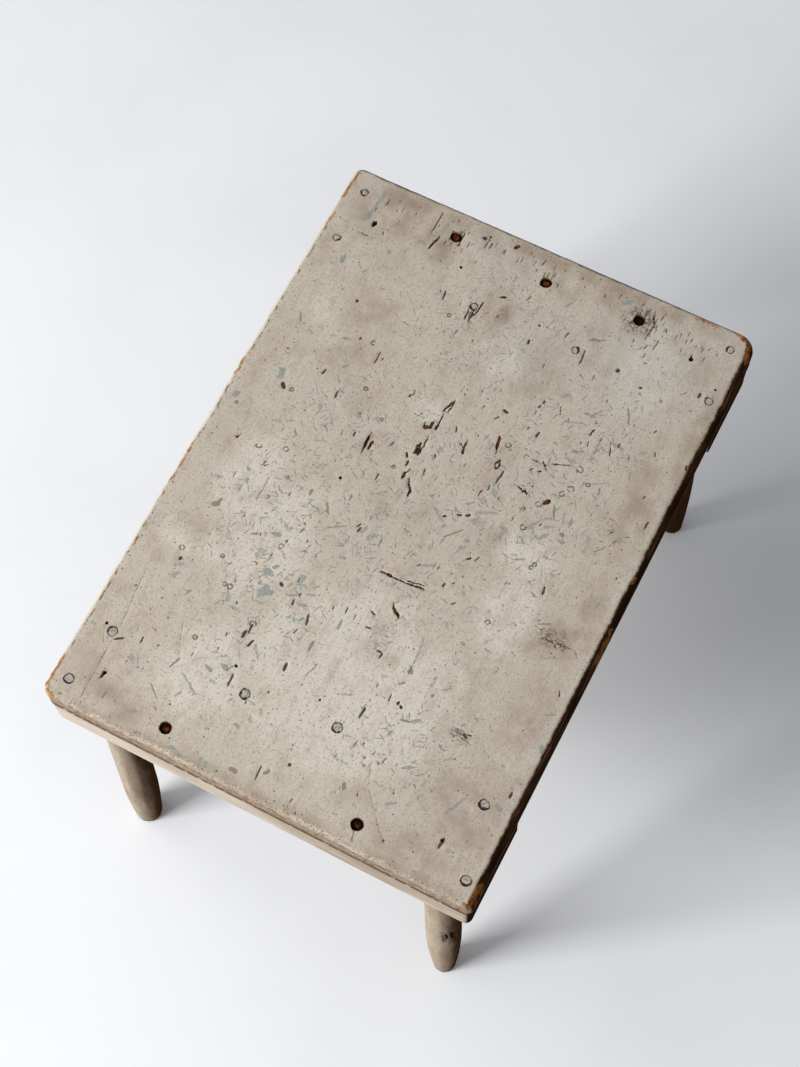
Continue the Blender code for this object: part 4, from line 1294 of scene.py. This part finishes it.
    def finish(self, colour, normal, roughness=None):
        """The material with its colour, bumps and, if given, uneven roughness."""
        self.feed(self.shader.inputs["Base Color"], colour)
        self.feed(self.shader.inputs["Normal"], normal)
        if roughness is not None:
            self.feed(self.shader.inputs["Roughness"], roughness)
        return self.material


def seat_paint(coat):
    """Old cream paint with dirt, stains, scuffs, specks and fine scratches."""
    fresh = coat.plus(coat.mark("fresh"), coat.centred(22, seed=1.0))
    colour = coat.over(PUTTY, CREAM, coat.step(fresh, 0.05, 0.75))
    colour = coat.weathered(colour, SEAT_GRIME)
    colour = coat.over(colour, COOL_GREY, coat.mark("cool"), 0.5)
    stain = coat.patches(16, 0.22, 0.66, detail=3.0, seed=14.0)
    colour = coat.over(colour, DIRTY, coat.mark("stain"), stain, 0.75)
    scuff = coat.patches(1.3, 0.47, 0.57, detail=3.0, stretch=(1, 1.8, 1), seed=17.0, rough=0.65)
    colour = coat.over(colour, SCUFFED, coat.shown("scuff", 0.15, 0.8), scuff, 0.75)
    for cell, share, size, tint, strength, seed in SPECKS:
        spots = coat.specks(cell, share, size, seed, SPECK_WARP)
        colour = coat.over(colour, tint, spots, strength)
    crowd = coat.plus(coat.mark("crowd"), coat.centred(16, detail=3.0, seed=19.0))
    crowd = coat.step(crowd, 0.0, 0.45)
    for cell, longer, share, size, bearing, tint, strength, seed in SCRATCHES:
        lines = coat.specks(cell, share, size, seed, SCRATCH_WARP, (longer, 1, 1), math.radians(bearing))
        colour = coat.over(colour, tint, lines, crowd, strength)
    return colour


def seat_chips(coat, colour, fray):
    """Chips to the blue coat, grey scrapes, ring dents, brown dashes, gouges and cracks."""
    chipped = coat.frayed("blue", fray, 1.1)
    blue = coat.over(BLUE_COAT, BLUE_GREEN, coat.noise(4, detail=3.0, seed=21.0))
    streaks = coat.span(coat.noise(1.2, detail=3.0, stretch=(3, 1, 1), seed=26.0), 0.55, 1.0, 0.36, 0.58)
    patchy = coat.span(coat.noise(14, detail=3.0, seed=20.0), 0.6, 1.0, 0.35, 0.6)
    colour = coat.over(colour, blue, chipped, streaks, patchy)
    dirt = coat.patches(2.6, 0.52, 0.62, detail=3.0, seed=22.0)
    colour = coat.over(colour, GREY_COAT, chipped, coat.shown("blue", 0.42, 0.10), dirt, 0.6)
    colour = coat.over(colour, GREY_COAT, coat.frayed("grey", fray, 0.9), 0.8)
    dented = coat.patches(3.0, 0.38, 0.50, detail=2.0, seed=24.0)
    colour = coat.over(colour, RING_GREY, coat.shown("ring", 0.15, 0.55), dented, 0.8)
    splinter = coat.noise(1.0, detail=3.0, stretch=(6, 1, 1), seed=23.0)
    wood = coat.over(BROWN_WOOD, BROWN_DARK, coat.step(splinter, 0.35, 0.65))
    colour = coat.over(colour, wood, coat.frayed("brown", fray, 0.9), 0.92)
    red = coat.step(splinter, 0.40, 0.56)
    gouge = coat.over(DARK_WOOD, RED_WOOD, red, coat.shown("dark", 0.0, 0.45))
    colour = coat.over(colour, gouge, coat.frayed("dark", fray, 0.9))
    return coat.over(colour, BROWN_DARK, coat.frayed("crack", fray, 0.6), 0.7)


def seat_holes(coat, colour, fray, lumps):
    """Dark outlines round the nail heads, rust round the screws, and holes darkened by dirt and painted shade.
    """
    uneven = coat.plus(coat.times(fray, 0.5), lumps, 2.0)
    ringed = coat.step(coat.plus(coat.mark("nail"), uneven), -0.85, -0.25)
    broken = coat.patches(3.2, 0.38, 0.58, detail=3.0, seed=25.0)
    colour = coat.over(colour, NAIL_RING, ringed, broken, 0.9)
    halo = coat.times(coat.mark("rust"), coat.noise(3, seed=27.0))
    colour = coat.over(colour, RUST_STAIN, coat.step(halo, 0.16, 0.48))
    # Dirt and painted shade inside the pits
    hole = coat.plus(coat.mark("hole"), fray, 0.5)
    return coat.over(colour, HOLE_DIRT_AND_SHADE, coat.step(hole, -0.32, 0.0))


def front_rim(coat, colour, path, edge, lumps):
    """Dark bare wood along the front, streaked, and soft where the paint ends."""
    streak = coat.patches(1.3, 0.42, 0.68, stretch=(18, 1, 1), seed=51.0)
    broken = coat.patches(34, 0.40, 0.60, detail=2.0, seed=52.0)
    bare = coat.over(FRONT_EDGE, FRONT_STREAK, streak, broken)
    bare = coat.over(bare, FRONT_BLACK, coat.step(coat.plus(path, lumps, 5.0), 3.6, 6.4))
    bare = coat.over(bare, FRONT_EDGE, coat.step(edge, 1.8, 0.6))
    along = coat.shown("front", 0.35, 0.7)
    colour = coat.over(colour, FRONT_SOFT, coat.step(edge, -2.6, 0.2), 0.6, along)
    return coat.over(colour, bare, coat.step(edge, -0.7, 0.9), along)


def back_rim(coat, colour, path, edge):
    """A painted highlight along the back's rim, with a broken brown line."""
    along = coat.shown("back", 0.4, 0.8)
    # Painted highlight on the back arris, which faces the windows
    colour = coat.over(colour, BACK_RIM_HIGHLIGHT, coat.step(path, 0.6, 2.4), along, 0.75)
    line = coat.times(coat.step(edge, -0.5, 0.0), coat.step(edge, 0.8, 0.3))
    broken = coat.patches(5, 0.48, 0.56, detail=5.0, seed=55.0, rough=0.65)
    return coat.over(colour, BROWN_WOOD, line, broken, along, 0.85)


def near_rim(coat, colour, ragged):
    """Crumbly end grain at the near end, with a painted highlight along its broken arris and brown pores."""
    near = coat.shown("near", 0.35, 0.7)
    crumbs = coat.patches(1.5, 0.48, 0.56, seed=57.0, rough=0.65)
    colour = coat.over(colour, END_GRAIN, crumbs, coat.step(ragged, -1.6, 1.2), near, 0.7)
    # A painted highlight along the near arris, which faces the windows
    arris_highlight = coat.times(coat.step(ragged, -0.8, 0.2), coat.step(ragged, 2.2, 1.2), coat.step(crumbs, 0.6, 0.4))
    broken = coat.patches(13, 0.50, 0.62, detail=2.0, seed=58.0)
    colour = coat.over(colour, ARRIS_HIGHLIGHT, arris_highlight, near, broken, 0.42)
    pores = coat.patches(1.1, 0.58, 0.63, detail=3.0, seed=61.0, rough=0.6)
    colour = coat.over(colour, BROWN_WOOD, pores, coat.step(ragged, -2.6, 0.2), near, 0.85)
    grain = coat.patches(1.0, 0.40, 0.60, detail=5.0, stretch=(1, 4, 1), seed=59.0, rough=0.7)
    grain = coat.over(END_TAN, END_DARK, grain)
    return coat.over(colour, grain, coat.step(ragged, 2.4, 3.6), near)


def seat_rim(coat, colour, fray, lumps):
    """The rim on all four sides: wear, with painted highlights at the back and near end, and painted shade with
    wear at the far end.
    """
    path = coat.mark("rim")
    edge = coat.plus(path, coat.plus(coat.times(fray, 1.4), lumps, 1.8))
    ragged = coat.plus(path, coat.plus(coat.times(fray, 1.6), lumps, 4.0))
    colour = front_rim(coat, colour, path, edge, lumps)
    colour = back_rim(coat, colour, path, edge)
    colour = near_rim(coat, colour, ragged)
    # The far arris: edge wear and painted shade where it turns away from the windows
    return coat.over(colour, FAR_RIM_WEAR_AND_SHADE, coat.step(ragged, 0.4, 1.6), coat.shown("far", 0.4, 0.8), 0.85)


def seat_bare_wood(coat, colour, fray, lumps):
    """Orange wood at the worn corners, darker in front, and raw wood underneath."""
    amber = coat.over(AMBER_WOOD, AMBER_PALE, coat.patches(1.4, 0.35, 0.65, stretch=(5, 1, 1), seed=31.0))
    pores = coat.patches(1.6, 0.40, 0.56, stretch=(2.5, 1, 1), seed=32.0)
    deep = coat.over(AMBER_DARK, FRONT_AMBER, pores)
    amber = coat.over(amber, deep, coat.shown("front", 0.05, 0.35))
    colour = coat.over(colour, amber, coat.frayed("amber", coat.plus(fray, lumps), 1.5))
    raw = coat.over(RAW_WOOD, RAW_DARK, coat.patches(1.8, 0.35, 0.7, stretch=(20, 1, 1), seed=33.0))
    return coat.over(colour, raw, coat.mark("under"))


def seat_material():
    """Old cream paint, dirty and rubbed, chipped to a blue coat and to wood, dark and bare in front."""
    coat = Coat("worn_seat_paint", 0.66)
    fray = coat.centred(0.8, detail=3.0, seed=2.0)
    lumps = coat.centred(4.5, seed=3.0)
    colour = seat_paint(coat)
    colour = seat_chips(coat, colour, fray)
    colour = seat_holes(coat, colour, fray, lumps)
    colour = seat_rim(coat, colour, fray, lumps)
    colour = seat_bare_wood(coat, colour, fray, lumps)
    normal = coat.bump(coat.noise(0.9, seed=41.0, rough=0.6), 0.05)
    normal = coat.bump(coat.noise(2.0, stretch=(14, 1, 1), seed=8.0), 0.09, under=normal)
    return coat.finish(colour, normal, coat.span(coat.noise(9, seed=43.0), 0.55, 0.78))


def batten_material():
    """Thin beige paint on a sawn batten, brown towards the front, with painted shade at the seam under the seat
    and on its front end.
    """
    coat = Coat("worn_batten_paint", 0.68)
    colour = coat.over(BATTEN_CREAM, BATTEN_TAN, coat.patches(26, 0.35, 0.7, stretch=(1, 3, 1), seed=2.0))
    colour = coat.weathered(colour, BATTEN_GRIME)
    soiled = coat.patches(12, 0.2, 0.6, stretch=(1, 3, 1), seed=10.0)
    colour = coat.over(colour, BATTEN_BROWN, coat.mark("soiled"), soiled, 0.5)
    # Painted shade along the seam under the seat
    ragged = coat.plus(coat.mark("path"), coat.noise(5, seed=12.0), 4.0)
    colour = coat.over(colour, SEAM_SHADE, coat.step(ragged, 2.9, 2.0), 0.8)
    # Painted shade over the end grain of the front end, which faces away from the windows
    end_grain_in_shade = coat.over(FRONT_BLACK, FRONT_EDGE, coat.patches(1.6, 0.42, 0.72, seed=15.0))
    colour = coat.over(colour, end_grain_in_shade, coat.shown("front", 0.3, 0.7))
    normal = coat.bump(coat.noise(0.8, seed=17.0), 0.05)
    normal = coat.bump(coat.noise(1.1, stretch=(1, 26, 1), seed=5.0), 0.14, under=normal)
    return coat.finish(colour, normal)


def leg_material():
    """Thin grey-beige paint on a leg, with faint cross marks from turning, brown wood at its foot and marks,
    and painted shade.
    """
    coat = Coat("worn_leg_paint", 0.66)
    colour = coat.over(LEG_PALE, LEG_TAN, coat.patches(28, 0.40, 0.72, stretch=(1, 1, 1.6), seed=3.0))
    colour = coat.weathered(colour, LEG_GRIME)
    # Painted shade: the side away from the windows, and the legs in the seat's shadow, turn brown and then dark
    uneven = coat.centred(9, detail=5.0, stretch=(1, 1, 5), seed=14.0, rough=0.6)
    worn = coat.plus(coat.mark("worn"), uneven)
    colour = coat.over(colour, LEG_BROWN, coat.step(worn, -0.6, 0.5), 0.85)
    colour = coat.over(colour, LEG_DARK, coat.step(worn, 0.1, 0.9))
    foot = coat.plus(coat.mark("rise"), coat.noise(6, seed=15.0), 14.0)
    colour = coat.over(colour, RAW_DARK, coat.step(foot, 13.0, 6.0), 0.7)
    smudge = coat.plus(coat.mark("dark"), coat.noise(3.0, detail=3.0, seed=18.0), 3.0)
    colour = coat.over(colour, LEG_DARK, coat.step(smudge, -0.8, 1.6), 0.6)
    fray = coat.centred(0.9, detail=3.0, seed=2.0)
    colour = coat.over(colour, DARK_WOOD, coat.frayed("dark", fray, 0.9))
    normal = coat.bump(coat.noise(0.9, seed=21.0), 0.05)
    normal = coat.bump(coat.noise(1.6, stretch=(7, 7, 1), seed=8.0), 0.10, under=normal)
    return coat.finish(colour, normal)


def nail_material():
    """A flat nail head under old paint, grey where it is rubbed and dark at its rim."""
    coat = Coat("painted_nail", 0.6)
    colour = coat.over(NAIL_PAINT, NAIL_GREY, coat.patches(1.6, 0.44, 0.60, seed=3.0))
    edge = coat.plus(coat.mark("edge"), coat.noise(3.0, detail=3.0, seed=6.0), 1.8)
    colour = coat.over(colour, NAIL_RING, coat.step(edge, 1.72, 2.0))
    return coat.finish(colour, coat.bump(coat.noise(1.0, seed=9.0), 0.12))


def rusty_material():
    """A sunken screw head, crusted with orange and black rust, and darkened at its rim by black rust and
    painted shade.
    """
    coat = Coat("rusty_screw", 0.85)
    crust = coat.noise(2.0, detail=5.0, seed=2.0, rough=0.65)
    colour = coat.over(RUST, RUST_DEEP, coat.step(crust, 0.42, 0.60))
    # Black rust and painted shade at the rim of the sunken head
    colour = coat.over(colour, RUST_DARK_AND_SHADE, coat.step(coat.plus(coat.mark("edge"), crust), 0.8, 1.2))
    return coat.finish(colour, coat.bump(coat.noise(0.7, detail=5.0, seed=5.0, rough=0.65), 0.25))


def pin_material():
    """The small dark head of a finishing nail."""
    coat = Coat("dark_pin", 0.75)
    colour = coat.over(PIN_IRON, RUST_DARK_AND_SHADE, coat.noise(0.9, seed=2.0))
    return coat.finish(colour, coat.bump(coat.noise(0.6, seed=4.0), 0.1))


def make_floor():
    """A plain pale floor that takes the stool's shadow."""
    mesh = bpy.data.meshes.new("floor")
    half = FLOOR_SIZE / 2
    mesh.from_pydata([(x * half, y * half, 0) for x, y in CORNERS], [], [(0, 1, 2, 3)])
    coat = Coat("pale_floor", 0.7)
    colour = coat.over(FLOOR_COLOUR, FLOOR_DUST, coat.patches(180, 0.4, 0.75, detail=5.0, seed=3.0))
    mesh.materials.append(coat.finish(colour, coat.bump(coat.noise(6, detail=3.0, seed=5.0), 0.02)))
    floor = add_object("floor", mesh)


def make_windows():
    """Two soft windows to the left."""
    aim = Vector((0, 0, node_box("seat_board")[1][2] * MM))
    for name, bearing, rise, distance, size, power in WINDOWS:
        turn = math.radians(bearing)
        tilt = math.radians(rise)
        level = math.cos(tilt)
        toward = Vector((level * math.cos(turn), level * math.sin(turn), math.sin(tilt)))
        lamp = bpy.data.lights.new(name, "AREA")
        lamp.shape = "SQUARE"
        lamp.size = size
        lamp.energy = power
        window = add_object(name, lamp)
        window.location = aim + toward * distance
        window.rotation_euler = toward.to_track_quat("Z", "Y").to_euler()


def make_room():
    """The pale room round the stool, brighter to the camera and in reflections than as a light."""
    world = bpy.data.worlds.new("pale_room")
    world.use_nodes = True
    bpy.context.scene.world = world
    tree = world.node_tree
    background = tree.nodes["Background"]
    background.inputs["Color"].default_value = ROOM_COLOUR
    rays = tree.nodes.new("ShaderNodeLightPath")
    seen = rays.outputs["Is Camera Ray"]
    for kind in ("Is Glossy Ray", "Is Transmission Ray"):
        either = tree.nodes.new("ShaderNodeMath")
        either.operation = "MAXIMUM"
        tree.links.new(seen, either.inputs[0])
        tree.links.new(rays.outputs[kind], either.inputs[1])
        seen = either.outputs[0]
    level = tree.nodes.new("ShaderNodeMapRange")
    level.inputs["To Min"].default_value = ROOM_LIGHT
    level.inputs["To Max"].default_value = ROOM_SEEN
    tree.links.new(seen, level.inputs["Value"])
    tree.links.new(level.outputs["Result"], background.inputs["Strength"])


def make_camera():
    """The photograph's view: from above the near end, turned a little."""
    lens = bpy.data.cameras.new("photo_view")
    lens.lens = CAMERA_LENS
    lens.sensor_width = SENSOR
    camera = add_object("photo_view", lens)
    camera.location = CAMERA_PLACE
    camera.rotation_mode = "QUATERNION"
    look = (CAMERA_AIM - CAMERA_PLACE).to_track_quat("-Z", "Y")
    camera.rotation_quaternion = look @ Quaternion((0, 0, 1), CAMERA_ROLL)
    bpy.context.scene.camera = camera


def make_stool():
    """Every piece of the stool, each standing for its node."""
    make_seat(seat_material())
    batten = batten_material()
    for end in ("left", "right"):
        make_batten(end, batten)
    leg = leg_material()
    for corner in ("back_left", "front_left", "front_right", "back_right"):
        make_leg(corner, leg)
    fasteners = (
        ("nail_", "nail_steel", nail_material(), 0.18, False),
        ("screw_", "rusty_steel", rusty_material(), 0.45, True),
        ("leg_pin_", "pin_steel", pin_material(), 0.2, False),
    )
    for start, slot, material, hammered, slotted in fasteners:
        for node in sorted(frame["nodes"]):
            if node.startswith(start):
                make_fastener(node, material, hammered, slotted)


make_camera()
make_windows()
make_room()
make_floor()
make_stool()
bpy.context.scene.view_settings.view_transform = "Standard"
